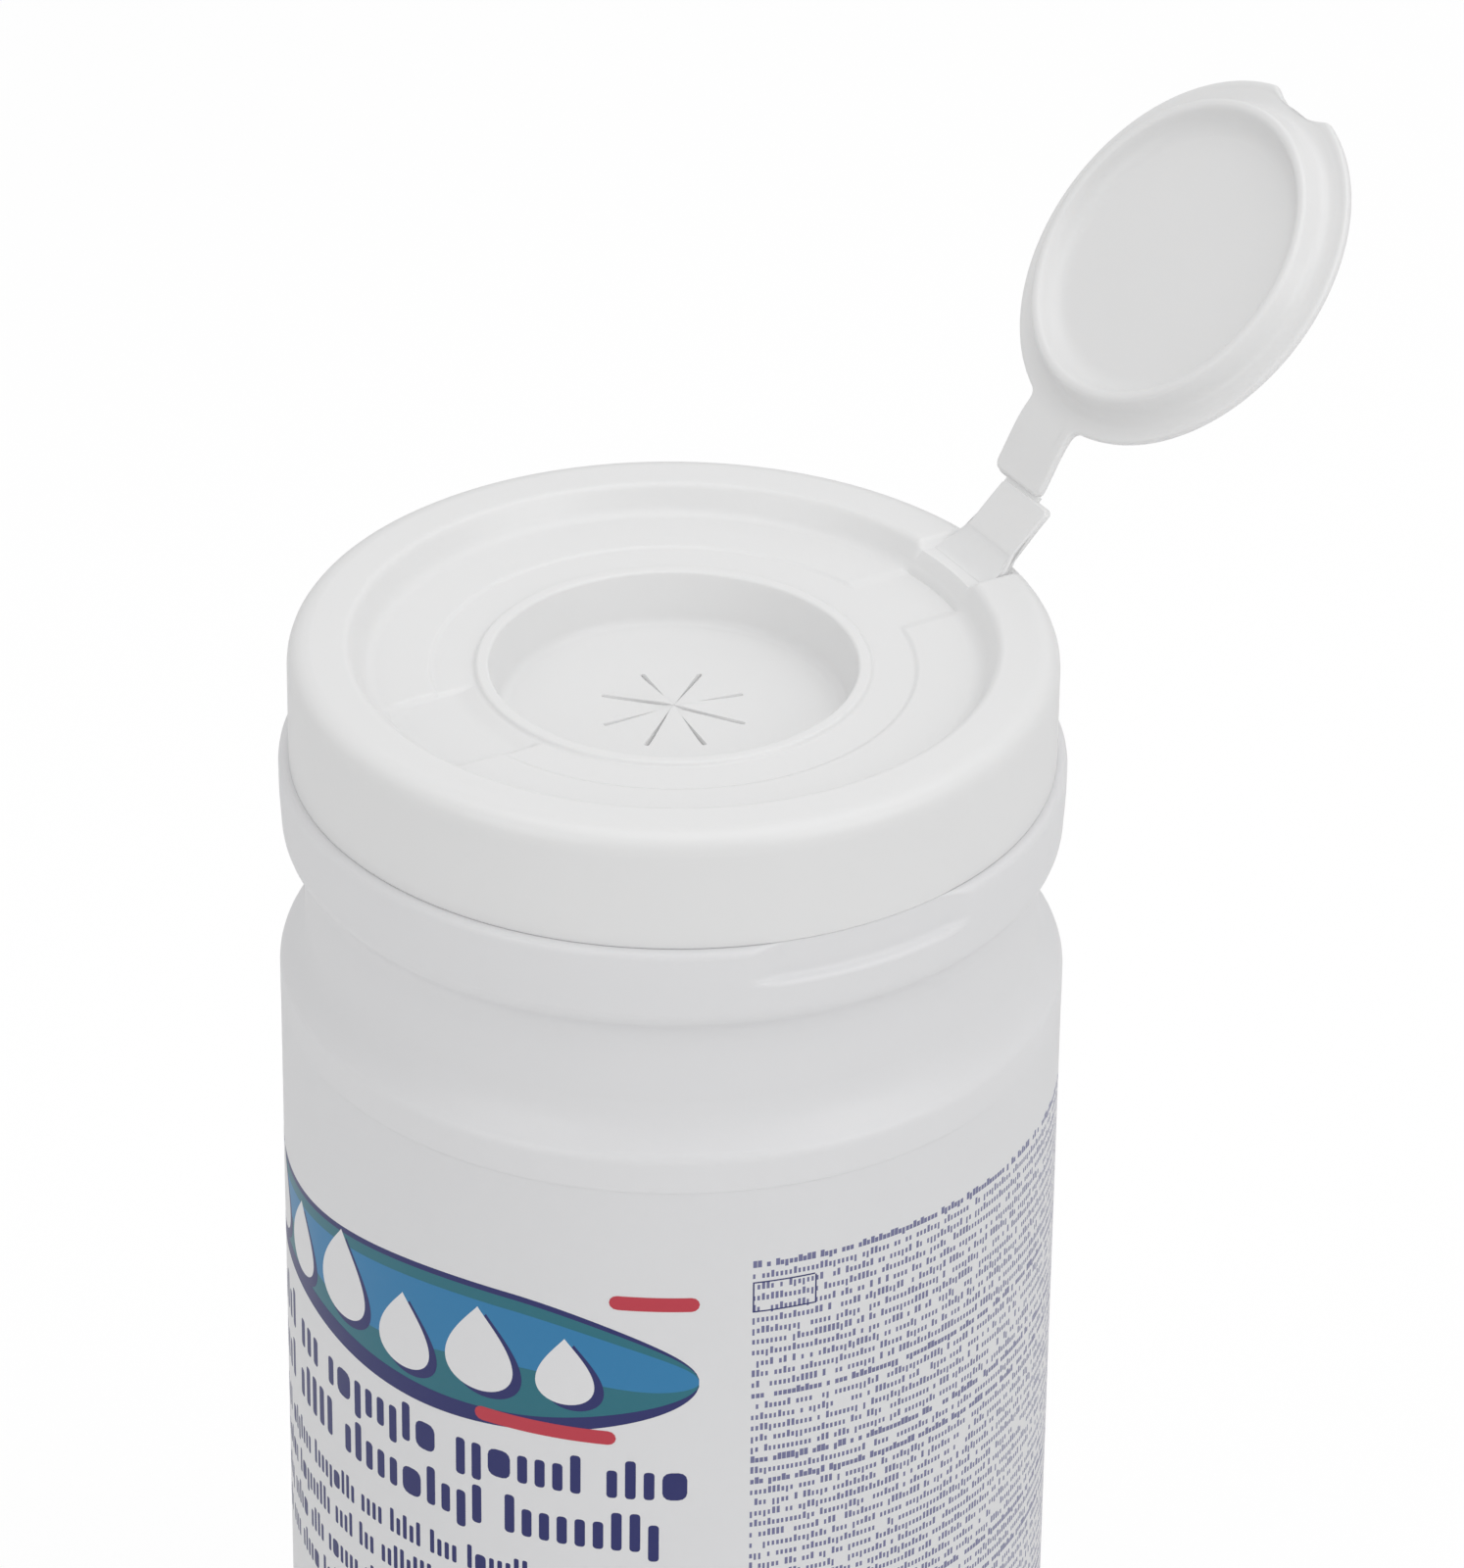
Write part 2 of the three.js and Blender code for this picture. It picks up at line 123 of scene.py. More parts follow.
def eased(corners, steps=6, longest=None):
    """A path of straight runs with eased corners, as an array of (r, z).

    Each row of corners is r, z and ease. The corner gives way to a quadratic curve that starts
    and ends that far from it, (1-t)^2 A + 2t(1-t) P + t^2 B. One more point just outside each
    curve keeps the shading of the straight runs flat. Runs are cut to the longest piece if given."""
    most_of_run = 0.9
    margin = 0.05
    corners = np.array(corners, float)
    points = [corners[0, :2]]
    curve = np.linspace(0, 1, steps + 1)[:, None]
    for before, here, after in zip(corners[:-2], corners[1:-1], corners[2:]):
        back = before[:2] - here[:2]
        ahead = after[:2] - here[:2]
        shares = [here[2] / max(here[2] + other[2], 1e-9) for other in (before, after)]
        rooms = (np.hypot(*back), np.hypot(*ahead))
        ease = min(here[2], *(most_of_run * share * room for share, room in zip(shares, rooms)))
        back = back / np.hypot(*back)
        ahead = ahead / np.hypot(*ahead)
        start = here[:2] + back * ease
        end = here[:2] + ahead * ease
        bend = (1 - curve) ** 2 * start + 2 * curve * (1 - curve) * here[:2] + curve**2 * end
        points.extend([start + back * ease * margin, *bend, end + ahead * ease * margin])
    points.append(corners[-1, :2])
    path = np.array(points)
    if longest is None:
        return path
    pieces = []
    for start, end in zip(path[:-1], path[1:]):
        count = max(1, int(np.hypot(*(end - start)) / longest))
        share = np.arange(count)[:, None] / count
        pieces.append(start + share * (end - start))
    return np.vstack([*pieces, path[-1:]])


def mesh_piece(name, verts, faces):
    """A new object in the scene, from a list of points and a list of faces."""
    mesh = bpy.data.meshes.new(name)
    mesh.from_pydata(verts, [], faces)
    piece = bpy.data.objects.new(name, mesh)
    bpy.context.scene.collection.objects.link(piece)
    return piece


def grid_faces(index):
    """Four-cornered faces between neighbours in a table of point numbers."""
    return np.stack((
        index[:-1, :-1], index[:-1, 1:], index[1:, 1:], index[1:, :-1],
    ), axis=-1).reshape(-1, 4).tolist()


def closed_grid(name, x, y, z, poles):
    """A closed mesh from three arrays of rows by columns, with the columns going round.

    With poles the first and last rows shrink to one point each. Without them the last row
    joins the first. Faces point outwards when the rows go up the outside."""
    points = np.stack((x, y, z), axis=-1)
    rows = points[1:-1] if poles else points
    verts = rows.reshape(-1, 3)
    index = np.arange(len(verts)).reshape(rows.shape[:2])
    around = np.hstack((index, index[:, :1]))
    if poles:
        faces = grid_faces(around)
        foot, crest = len(verts), len(verts) + 1
        verts = np.vstack((verts, points[0].mean(axis=0), points[-1].mean(axis=0)))
        first, last = around[0].tolist(), around[-1].tolist()
        faces += [(foot, after, here) for here, after in zip(first, first[1:])]
        faces += [(here, after, crest) for here, after in zip(last, last[1:])]
    else:
        faces = grid_faces(np.vstack((around, around[:1])))
    piece = mesh_piece(name, verts.tolist(), faces)
    piece.data.shade_smooth()
    return piece


def turned(radius, level, azimuth):
    """Rows of radius and level carried round the Z axis: x = r cos a, y = r sin a, z = level."""
    x = radius * np.cos(azimuth)
    y = radius * np.sin(azimuth)
    return x, y, np.broadcast_to(level, x.shape)


def bottle_profile(notched):
    """The bottle's section, up the outside and down the inside, with or without the notch.

    Both have the same number of corners, so that one can change smoothly into the other."""
    bed_radius = bottle_radius - label_bed
    wall_inner = bottle_radius - 0.5 * mm - bottle_wall
    bead_inner = bead_radius - 0.3 * mm - bottle_wall
    neck_inner = neck_radius - bottle_wall
    waist_inner = waist_radius - bottle_wall
    neck_top = bottle_high[2]
    ring_inside = base_thickness + ring_depth
    outside = [
        (0, 0, 0),
        (base_groove, 0, 0.6 * mm),
        (base_groove + 2 * mm, ring_depth, 0.8 * mm),
        (base_foot - 2 * mm, ring_depth, 0.8 * mm),
        (base_foot, 0, 0.6 * mm),
        (bottle_radius, 0, 3.5 * mm),
        (bottle_radius, label_bottom - 0.04 * mm, label_bed_edge),
        (bed_radius, label_bottom + 0.4 * mm, label_bed_edge),
        (bed_radius, label_top - 0.4 * mm, label_bed_edge),
        (bottle_radius, label_top + 0.04 * mm, label_bed_edge),
        (bottle_radius, shoulder_top, 1.3 * mm),
        (waist_radius, shoulder_top + 3.4 * mm, 6.4 * mm),
        (waist_radius, bead_bottom - 2.2 * mm, 3.2 * mm),
        (bead_radius - 0.4 * mm, bead_bottom + 0.4 * mm, 2.2 * mm),
    ]
    if notched:
        outside += [
            (bead_radius - 0.1 * mm, notch_floor, 1.2 * mm),
            (notch_back, notch_floor + 0.3 * mm, 1.2 * mm),
            (notch_back, bead_top, 0.3 * mm),
            (neck_radius, bead_top, 0.3 * mm),
        ]
    else:
        outside += [
            (bead_radius - 0.1 * mm, notch_floor, 0.3 * mm),
            (bead_radius - 0.05 * mm, notch_floor + 1 * mm, 0.3 * mm),
            (bead_radius, bead_top, 1 * mm),
            (neck_radius, bead_top, 0.3 * mm),
        ]
    outside += [
        (neck_radius, neck_top, 0.4 * mm),
        (neck_inner, neck_top, 0.4 * mm),
    ]
    if notched:
        inside = [
            (neck_inner, bead_top - bottle_wall, 0.5 * mm),
            (neck_inner, bead_top - 2 * bottle_wall, 0.3 * mm),
            (neck_inner, notch_floor - bottle_wall, 0.6 * mm),
            (bead_inner, notch_floor - 1.2 * bottle_wall, 0.6 * mm),
        ]
    else:
        inside = [
            (neck_inner, bead_top - bottle_wall, 0.8 * mm),
            (bead_inner, bead_top - 2 * bottle_wall, 0.8 * mm),
            (bead_inner, notch_floor - bottle_wall, 0.3 * mm),
            (bead_inner, notch_floor - 1.6 * bottle_wall, 0.3 * mm),
        ]
    inside += [
        (bead_inner, bead_bottom + 1.6 * mm, 1.4 * mm),
        (waist_inner, bead_bottom - 2 * mm, 1.4 * mm),
        (waist_inner, shoulder_top + 6 * mm, 4 * mm),
        (wall_inner, shoulder_top - 3 * mm, 2 * mm),
        (wall_inner, base_thickness, 3 * mm),
        (base_foot, base_thickness, 0.5 * mm),
        (base_foot - 2 * mm, ring_inside, 0.5 * mm),
        (base_groove + 2 * mm, ring_inside, 0.5 * mm),
        (base_groove, base_thickness, 0.5 * mm),
        (0, base_thickness, 0),
    ]
    return eased(outside + inside, steps=4)


def smooth_step(value, start, end):
    """0 below start, 1 above end, and 3t^2 - 2t^3 between them."""
    share = np.clip((value - start) / (end - start), 0, 1)
    return share * share * (3 - 2 * share)


def bottle_shell():
    """The closed shell: each azimuth takes the plain or the notched section, and the sides of
    the notch change softly from one to the other."""
    azimuth = np.linspace(-math.pi, math.pi, bottle_columns, endpoint=False)
    off_centre = np.abs(azimuth - notch_azimuth)
    share = 1 - smooth_step(off_centre, notch_half_angle - notch_side, notch_half_angle)
    plain = bottle_profile(False)[:, None, :]
    notched = bottle_profile(True)[:, None, :]
    section = plain + (notched - plain) * share[None, :, None]
    x, y, z = turned(section[..., 0], section[..., 1], azimuth[None, :])
    return closed_grid("bottle_shell", x, y, z, poles=True)


def moulded_plastic(name, color, roughness, grain, depth, haze=0.0):
    """A white moulded plastic: a satin surface whose gloss and tone wander a little, with a fine
    grain from the mould, and a shallow glow where light enters it."""
    darker = 0.985
    gloss_swing = 0.05
    material = bpy.data.materials.new(name)
    material.use_nodes = True
    nodes = material.node_tree.nodes
    links = material.node_tree.links
    shader = nodes["Principled BSDF"]
    shader.inputs["IOR"].default_value = 1.5
    shader.inputs["Subsurface Weight"].default_value = haze
    shader.inputs["Subsurface Radius"].default_value = (1, 0.95, 0.9)
    shader.inputs["Subsurface Scale"].default_value = 1.5 * mm
    place = nodes.new("ShaderNodeTexCoord")

    def noise(scale, detail):
        """The output of a noise texture that is fixed to the piece."""
        texture = nodes.new("ShaderNodeTexNoise")
        texture.inputs["Scale"].default_value = scale
        texture.inputs["Detail"].default_value = detail
        links.new(place.outputs["Object"], texture.inputs["Vector"])
        return texture.outputs["Fac"]

    clouds = noise(60, 3)
    tone = nodes.new("ShaderNodeMix")
    tone.data_type = "RGBA"
    tone.inputs["A"].default_value = (*[channel * darker for channel in color], 1)
    tone.inputs["B"].default_value = (*color, 1)
    links.new(clouds, tone.inputs["Factor"])
    links.new(tone.outputs["Result"], shader.inputs["Base Color"])
    gloss = nodes.new("ShaderNodeMapRange")
    gloss.inputs["To Min"].default_value = roughness - gloss_swing
    gloss.inputs["To Max"].default_value = roughness + gloss_swing
    links.new(clouds, gloss.inputs["Value"])
    links.new(gloss.outputs["Result"], shader.inputs["Roughness"])
    bump = nodes.new("ShaderNodeBump")
    bump.inputs["Strength"].default_value = 0.5
    bump.inputs["Distance"].default_value = depth
    links.new(noise(grain, 4), bump.inputs["Height"])
    links.new(bump.outputs["Normal"], shader.inputs["Normal"])
    return material


bottle = bottle_shell()
bottle.data.materials.append(moulded_plastic(
    "bottle_plastic", (0.79, 0.79, 0.8), roughness=0.4, grain=900, depth=0.015 * mm, haze=0.1,
))
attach(bottle, "canister")
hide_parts("canister")


# Label
# The label is a printed white film wrapped round the straight wall, with its ends meeting at the
# back. Its small print is drawn by the film's own material, in rows across the wall.
label_radius = bottle_radius - 0.03 * mm
label_film = 0.3 * mm
label_seam_azimuth = math.radians(149)
label_seam_half = 0.4 * mm / label_radius
label_columns = 721
front_azimuth = view_azimuth - math.pi / 2
side_print_azimuth = 12.5
back_print_azimuth = 118


def label_sleeve():
    """The film as a closed C-shaped strip, with u in millimetres round the wall from the seam
    and v in millimetres up from the base in its UV map."""
    start = label_seam_azimuth + label_seam_half
    end = label_seam_azimuth - label_seam_half + 2 * math.pi
    azimuth = np.linspace(start, end, label_columns)
    levels = np.linspace(label_bottom, label_top, 3)
    inner = label_radius - label_film
    section = np.array(
        [(inner, level) for level in levels[::-1]] + [(label_radius, level) for level in levels])
    x, y, z = turned(section[:, :1], section[:, 1:], azimuth[None, :])
    rows, columns = x.shape
    verts = np.stack((x, y, z), axis=-1).reshape(-1, 3)
    index = np.arange(rows * columns).reshape(rows, columns)
    faces = grid_faces(np.vstack((index, index[:1])))
    faces += [index[:, 0].tolist(), index[::-1, -1].tolist()]
    piece = mesh_piece("label_film", verts.tolist(), faces)
    mesh = piece.data
    corner_vertex = np.zeros(len(mesh.loops), int)
    mesh.loops.foreach_get("vertex_index", corner_vertex)
    u = np.broadcast_to((azimuth - start) * label_radius / mm, (rows, columns)).reshape(-1)
    v = verts[:, 2] / mm
    uv = np.column_stack((u, v))[corner_vertex]
    mesh.uv_layers.new(name="UVMap").data.foreach_set("uv", uv.reshape(-1))
    return piece


def film_place(azimuth_degrees):
    """Millimetres round the film from its seam, for an azimuth counted from the front, in
    degrees to the right."""
    azimuth = front_azimuth + math.radians(azimuth_degrees)
    from_seam = (azimuth - label_seam_azimuth - label_seam_half) % (2 * math.pi)
    return from_seam * label_radius / mm


class Chain:
    """Writes chains of Math nodes in one material."""

    def __init__(self, material):
        self.nodes = material.node_tree.nodes
        self.links = material.node_tree.links

    def math(self, operation, *values):
        """One Math node, with a number or another node's output on each socket."""
        node = self.nodes.new("ShaderNodeMath")
        node.operation = operation
        for socket, value in zip(node.inputs, values):
            if isinstance(value, (int, float)):
                socket.default_value = value
            else:
                self.links.new(value, socket)
        return node.outputs[0]

    def product(self, *factors):
        """All the factors multiplied."""
        result = factors[0]
        for factor in factors[1:]:
            result = self.math("MULTIPLY", result, factor)
        return result

    def chance(self, x, y):
        """A fixed random number from 0 to 1 for each pair of whole numbers."""
        pair = self.nodes.new("ShaderNodeCombineXYZ")
        self.links.new(x, pair.inputs["X"])
        self.links.new(y, pair.inputs["Y"])
        noise = self.nodes.new("ShaderNodeTexWhiteNoise")
        noise.noise_dimensions = "2D"
        self.links.new(pair.outputs["Vector"], noise.inputs["Vector"])
        return noise.outputs["Value"]


def small_print(chain, u, v, left, width, top, bottom):
    """Where rows of small print are, as 1 on ink and 0 on film. The rows hold upright marks
    of uneven height in groups like words, with ragged right ends and some bold rows. Heights
    are shares of the rows' pitch from its top, widths are shares of a mark's own cell."""
    pitch = 1.74
    cell_width = 0.62
    low_top, tall_rise = 0.34, 0.2
    base_line, deep_drop = 0.76, 0.18
    thin, uneven, bolder = 0.5, 0.2, 0.22
    bold_above, tall_above, deep_below, gap_below = 0.82, 0.72, 0.1, 0.15
    ragged = 9
    run = chain.math("SUBTRACT", u, left)
    depth = chain.math("DIVIDE", chain.math("SUBTRACT", top, v), pitch)
    row = chain.math("FLOOR", depth)
    down = chain.math("FRACT", depth)
    cell_place = chain.math("DIVIDE", run, cell_width)
    cell = chain.math("FLOOR", cell_place)
    across = chain.math("FRACT", cell_place)
    height_chance = chain.chance(cell, row)
    gap_chance = chain.chance(chain.math("ADD", cell, 311.5), row)
    row_chance = chain.chance(row, chain.math("MULTIPLY", row, 0.37))
    bold = chain.math("GREATER_THAN", row_chance, bold_above)
    tall = chain.math("GREATER_THAN", height_chance, tall_above)
    deep = chain.math("LESS_THAN", height_chance, deep_below)
    mark_top = chain.math("SUBTRACT", low_top, chain.math("MULTIPLY", tall, tall_rise))
    mark_bottom = chain.math("ADD", base_line, chain.math("MULTIPLY", deep, deep_drop))
    mark_width = chain.math("ADD", thin, chain.math("MULTIPLY", height_chance, uneven))
    mark_width = chain.math("ADD", mark_width, chain.math("MULTIPLY", bold, bolder))
    row_end = chain.math("SUBTRACT", width, chain.math("MULTIPLY", row_chance, ragged))
    return chain.product(
        chain.math("GREATER_THAN", down, mark_top),
        chain.math("LESS_THAN", down, mark_bottom),
        chain.math("LESS_THAN", across, mark_width),
        chain.math("GREATER_THAN", gap_chance, gap_below),
        chain.math("GREATER_THAN", run, 0),
        chain.math("LESS_THAN", run, row_end),
        chain.math("GREATER_THAN", v, bottom),
        chain.math("LESS_THAN", v, top),
    )


def film_material():
    """White film with a soft sheen, and two columns of small print in blue ink."""
    material = moulded_plastic(
        "printed_film", (0.79, 0.79, 0.8), roughness=0.4, grain=900, depth=0.015 * mm, haze=0.1,
    )
    print_strength = 0.85
    chain = Chain(material)
    uv = chain.nodes.new("ShaderNodeUVMap")
    uv.uv_map = "UVMap"
    split = chain.nodes.new("ShaderNodeSeparateXYZ")
    chain.links.new(uv.outputs["UV"], split.inputs["Vector"])
    u, v = split.outputs["X"], split.outputs["Y"]
    side_left, back_left = film_place(side_print_azimuth), film_place(back_print_azimuth)
    side_column = small_print(chain, u, v, side_left, width=88, top=161, bottom=46)
    back_column = small_print(chain, u, v, back_left, width=42, top=152, bottom=46)
    inked = chain.math("MAXIMUM", side_column, back_column)
    shader = chain.nodes["Principled BSDF"]
    film_tone = shader.inputs["Base Color"].links[0].from_socket
    printed = chain.nodes.new("ShaderNodeMix")
    printed.data_type = "RGBA"
    printed.inputs["B"].default_value = (0.05, 0.055, 0.22, 1)
    chain.links.new(film_tone, printed.inputs["A"])
    chain.links.new(chain.math("MULTIPLY", inked, print_strength), printed.inputs["Factor"])
    chain.links.new(printed.outputs["Result"], shader.inputs["Base Color"])
    return material


label = label_sleeve()
label.data.materials.append(film_material())
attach(label, "canister")
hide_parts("label")


# Printed forms
# The large print on the film: a wavy banner with drops in teal, blue and navy, two red dashes, two
# bold and four light rows of plain marks, a small frame, and a band near the foot. Each is a thin
# layer of one ink, and places on the film are in millimetres.
print_height = 0.004 * mm
panel_right = film_place(6)
panel_left = film_place(-100)
banner_left = panel_left
banner_right = panel_right - 1
banner_middle = 142
banner_end = 26


def ink(name, color):
    """Printing ink: one colour with a slightly uneven, satin surface."""
    return moulded_plastic(name, color, roughness=0.38, grain=500, depth=0.01 * mm)


def wrap(u, v, height):
    """Points on the wall at that height above the film, for u and v on the film."""
    azimuth = label_seam_azimuth + label_seam_half + u * mm / label_radius
    radius = label_radius + height
    return np.stack((radius * np.cos(azimuth), radius * np.sin(azimuth), v * mm), axis=-1)


def printed_layer(name, outlines, layer, material):
    """Thin closed layers from grids of (u, v) with rows from the lower to the upper edge. The
    front lies a step above the film for each layer, and the back lies on the film."""
    verts, faces = [], []
    for u, v in outlines:
        rows, columns = u.shape
        front = wrap(u, v, print_height * (layer + 1)).reshape(-1, 3)
        back = wrap(u, v, -print_height).reshape(-1, 3)
        first = sum(len(group) for group in verts)
        index = first + np.arange(rows * columns).reshape(rows, columns)
        behind = index + rows * columns
        rim = np.concatenate((
            index[0, :-1], index[:-1, -1], index[-1, :0:-1], index[:0:-1, 0],
        ))
        rim = np.append(rim, rim[0])
        sides = np.column_stack((rim, rim + rows * columns))
        verts += [front, back]
        faces += grid_faces(index) + grid_faces(behind.T) + grid_faces(sides)
    piece = mesh_piece(name, np.vstack(verts).tolist(), faces)
    piece.data.materials.append(material)
    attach(piece, "canister")
    return piece


def wave(u, level, swell, length, shift):
    """A wavy edge's height at u: level + swell sin(2 pi (u - shift) / length)."""
    return level + swell * np.sin(2 * math.pi * (u - shift) / length)


def wave_band(left, right, low, high):
    """A band between two wavy edges; low and high are (level, swell, length, shift). Near the
    banner's right end the edges close in on its middle along an ellipse."""
    u = np.linspace(left, right, int((right - left) * 3))
    past_end = np.clip((u - banner_right + banner_end) / banner_end, 0, 1)
    taper = np.sqrt(1 - 0.995 * past_end**2)
    edges = np.stack((wave(u, *low), wave(u, *high)))
    edges = banner_middle + (edges - banner_middle) * taper
    share = np.linspace(0, 1, 5)[:, None]
    v = edges[0] * (1 - share) + edges[1] * share
    return np.broadcast_to(u, v.shape), v


def rounded_mark(left, bottom, width, height, corner=0.35):
    """An upright mark with round ends: each row's half width follows a circle at the ends."""
    radius = min(width, height) * corner
    turn = np.linspace(-math.pi / 2, 0, 4)
    ends = radius * (1 + np.sin(turn))
    inset = radius * (1 - np.cos(turn))
    rows = np.concatenate((ends, height - ends[::-1]))
    insets = np.concatenate((inset, inset[::-1]))[:, None]
    share = np.linspace(0, 1, 2 + math.ceil(width / 0.8))
    u = left + insets + (width - 2 * insets) * share
    return u, np.broadcast_to((bottom + rows)[:, None], u.shape)


def drop(centre_u, centre_v, radius):
    """A drop, round below and pointed above. For an angle a its half width goes with
    sin(a) sin(a/2)^1.2 and its height with cos(a)."""
    angle = np.linspace(math.pi, 0, 33)
    half = 1.25 * radius * np.sin(angle) * np.sin(angle / 2) ** 1.2
    u = centre_u + half[:, None] * np.linspace(-1, 1, 17)
    v = centre_v + 1.2 * radius * np.cos(angle)
    return u, np.broadcast_to(v[:, None], u.shape)


def row_of_marks(left, right, baseline, height, width, seed):
    """A printed row: upright marks of uneven height and width, with gaps between groups."""
    wide, low, sunk_share = 2.3, 0.72, 0.24
    group_gap, mark_gap = 1.7, 0.72
    random = np.random.default_rng(seed)
    marks = []
    place = left
    group = random.integers(5, 10)
    while place < right - width * 2:
        if group == 0:
            place += width * group_gap
            group = random.integers(3, 11)
            continue
        kind = random.random()
        mark_width = width * (wide if kind > 0.8 else 1)
        tall = height if kind < 0.28 else height * low
        sink = height * sunk_share if 0.28 < kind < 0.36 else 0
        marks.append(rounded_mark(place, baseline - sink, mark_width, tall + sink))
        place += mark_width + width * mark_gap
        group -= 1
    return marks


def foot_band():
    """A band round the whole film near its foot, with a level lower edge and a wavy upper one."""
    girth = 2 * math.pi * label_radius / mm
    low = 14
    u = np.linspace(1, girth - 2, 700)
    high = wave(u, 23, 2.2, girth / 3, 9)
    v = low + np.linspace(0, 1, 5)[:, None] * (high - low)
    return np.broadcast_to(u, v.shape), v


navy = ink("navy_ink", (0.012, 0.016, 0.13))
teal = ink("teal_ink", (0.012, 0.15, 0.2))
blue = ink("blue_ink", (0.02, 0.2, 0.42))
white = ink("white_ink", (0.78, 0.78, 0.79))
red = ink("red_ink", (0.52, 0.035, 0.06))

printed_layer("banner_teal", [
    wave_band(banner_left, banner_right, (133.5, 1.4, 74, 0), (150.5, 2.2, 96, 20)),
], 0, teal)
printed_layer("banner_blue", [
    wave_band(banner_left, banner_right, (140, 1.8, 60, 12), (148.5, 2.2, 96, 20)),
], 1, blue)
printed_layer("banner_navy", [
    wave_band(banner_left, banner_right, (132, 1.4, 74, 0), (134.6, 1.2, 74, 3)),
    wave_band(banner_left, banner_right, (150.3, 2.2, 96, 20), (151.2, 2.2, 96, 20)),
], 2, navy)
drop_row = [(5, 142, 4.6), (16, 143, 5.6), (28, 141.5, 4.8), (41, 143.5, 5.8), (54, 141, 5),
            (66.5, 143, 5.6), (79, 142.5, 4.4)]
printed_layer("banner_drop_shade", [
    drop(banner_left + u + 1.3, v - 0.8, radius) for u, v, radius in drop_row
], 3, navy)
printed_layer("banner_drops", [
    drop(banner_left + u, v, radius) for u, v, radius in drop_row
], 4, white)
printed_layer("banner_red", [
    rounded_mark(panel_right - 32, 131.6, 20, 2.2, 0.5),
    rounded_mark(panel_right - 13, 153.4, 12, 2.2, 0.5),
], 5, red)
title_marks = row_of_marks(panel_left, panel_right, 123, 6.2, 1.45, 3)
title_marks += row_of_marks(panel_left, panel_right - 3, 114.4, 6.2, 1.45, 8)
printed_layer("title_rows", title_marks, 0, navy)
line_marks = []
for number, baseline in enumerate((106.4, 100.4, 94.4, 88.4)):
    row_right = panel_right - 9 * number
    line_marks += row_of_marks(panel_left, row_right, baseline, 3.9, 0.72, 20 + number)
printed_layer("light_rows", line_marks, 0, navy)
column_left = film_place(side_print_azimuth)
frame_width, frame_height, frame_line = 8.6, 4.6, 0.22
frame_bottom = 152.6
printed_layer("column_frame", [
    rounded_mark(column_left, frame_bottom, frame_line, frame_height),
    rounded_mark(column_left + frame_width, frame_bottom, frame_line, frame_height),
    rounded_mark(column_left, frame_bottom, frame_width, frame_line),
    rounded_mark(column_left, frame_bottom + frame_height, frame_width, frame_line),
], 0, navy)
printed_layer("foot_wave", [foot_band()], 0, teal)


# Roll of wipes
# The wipes are one long moist strip of white nonwoven wound without a core. The upper end shows
# the turns as uneven ridges, and the side is soft and slightly lumpy.
roll_low, roll_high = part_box("wipes_roll")
roll_radius = roll_high[0] - 0.2 * mm
roll_hole = 9 * mm
roll_turns = 24
roll_columns = 144
roll_top = roll_high[2] - 1.4 * mm


def wound_roll():
    """A ring whose upper end rises and falls once for each turn, along a spiral, with a slow
    uneven swell. The corners and the side are soft. Of the rows on the straight side and in the
    hole only every sixth is kept."""
    corners = [
        (roll_hole, roll_top, 0),
        (roll_hole, roll_low[2], 0.8 * mm),
        (roll_radius, roll_low[2], 2 * mm),
        (roll_radius, roll_top, 2 * mm),
        (roll_hole + 0.8 * mm, roll_top, 0),
    ]
    section = eased(corners, steps=5, longest=0.5 * mm)
    along_side = np.abs(section[:, 0] - roll_radius) < 0.05 * mm
    inside_hole = np.abs(section[:, 0] - roll_hole) < 0.05 * mm
    keep = ~(along_side | inside_hole) | (np.arange(len(section)) % 6 == 0)
    section = section[keep]
    azimuth = np.linspace(0, 2 * math.pi, roll_columns, endpoint=False)[None, :]
    radius = section[:, :1]
    level = section[:, 1:]
    turn = (radius - roll_hole) / (roll_radius - roll_hole) * roll_turns
    phase = 2 * math.pi * turn - azimuth
    at_top = smooth_step(level, roll_high[2] - 3 * mm, roll_high[2] - 1.5 * mm)
    swell = 0.5 * np.sin(3 * azimuth + turn) + 0.5 * np.sin(5 * azimuth - 0.7 * turn)
    lift = (0.45 * np.cos(phase) + 0.35 * swell) * mm
    level = level + at_top * lift
    soft = 0.25 * mm * (np.sin(2 * azimuth + level / (9 * mm)) - 1)
    radius = radius + np.where(radius > roll_radius * 0.97, soft, 0)
    x, y, z = turned(radius, level, azimuth)
    return closed_grid("wipes_roll_wound", x, y, z, poles=False)


def nonwoven():
    """Moist white nonwoven: matt, with a fine, deep random grain and a little sheen."""
    material = moulded_plastic(
        "nonwoven", (0.8, 0.8, 0.79), roughness=0.85, grain=1800, depth=0.12 * mm,
    )
    shader = material.node_tree.nodes["Principled BSDF"]
    shader.inputs["Sheen Weight"].default_value = 0.3
    return material


roll = wound_roll()
roll.data.materials.append(nonwoven())
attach(roll, "canister")
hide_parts("wipes_roll")


# Cap
# The cap is one moulding in white polypropylene: a skirt that grips the neck, a rounded rim, a
# recess with a seat, a raised lip, and a well whose thin floor is slit into eight petals.
cap_radius = cap_high[0]
skirt_inner = cap_radius - 1.7 * mm
plate = 1.3 * mm
rim_inner = cap_radius - 8.1 * mm
recess_foot = rim_inner - 2.2 * mm
recess_level = cap_top - 3.8 * mm
seat_level = recess_level - 0.3 * mm
seat_radius = 32.3 * mm
lip_radius = 26.2 * mm
lip_level = seat_level + 0.6 * mm
well_radius = 24.6 * mm
well_foot = 23.2 * mm
well_level = cap_top - 10.8 * mm
channel_half = 6.5 * mm
channel_level = cap_top - 1.05 * mm
channel_soft = 0.8 * mm
seat_channel_soft = 1.1 * mm
finger_half = 9 * mm
finger_reach = 40 * mm
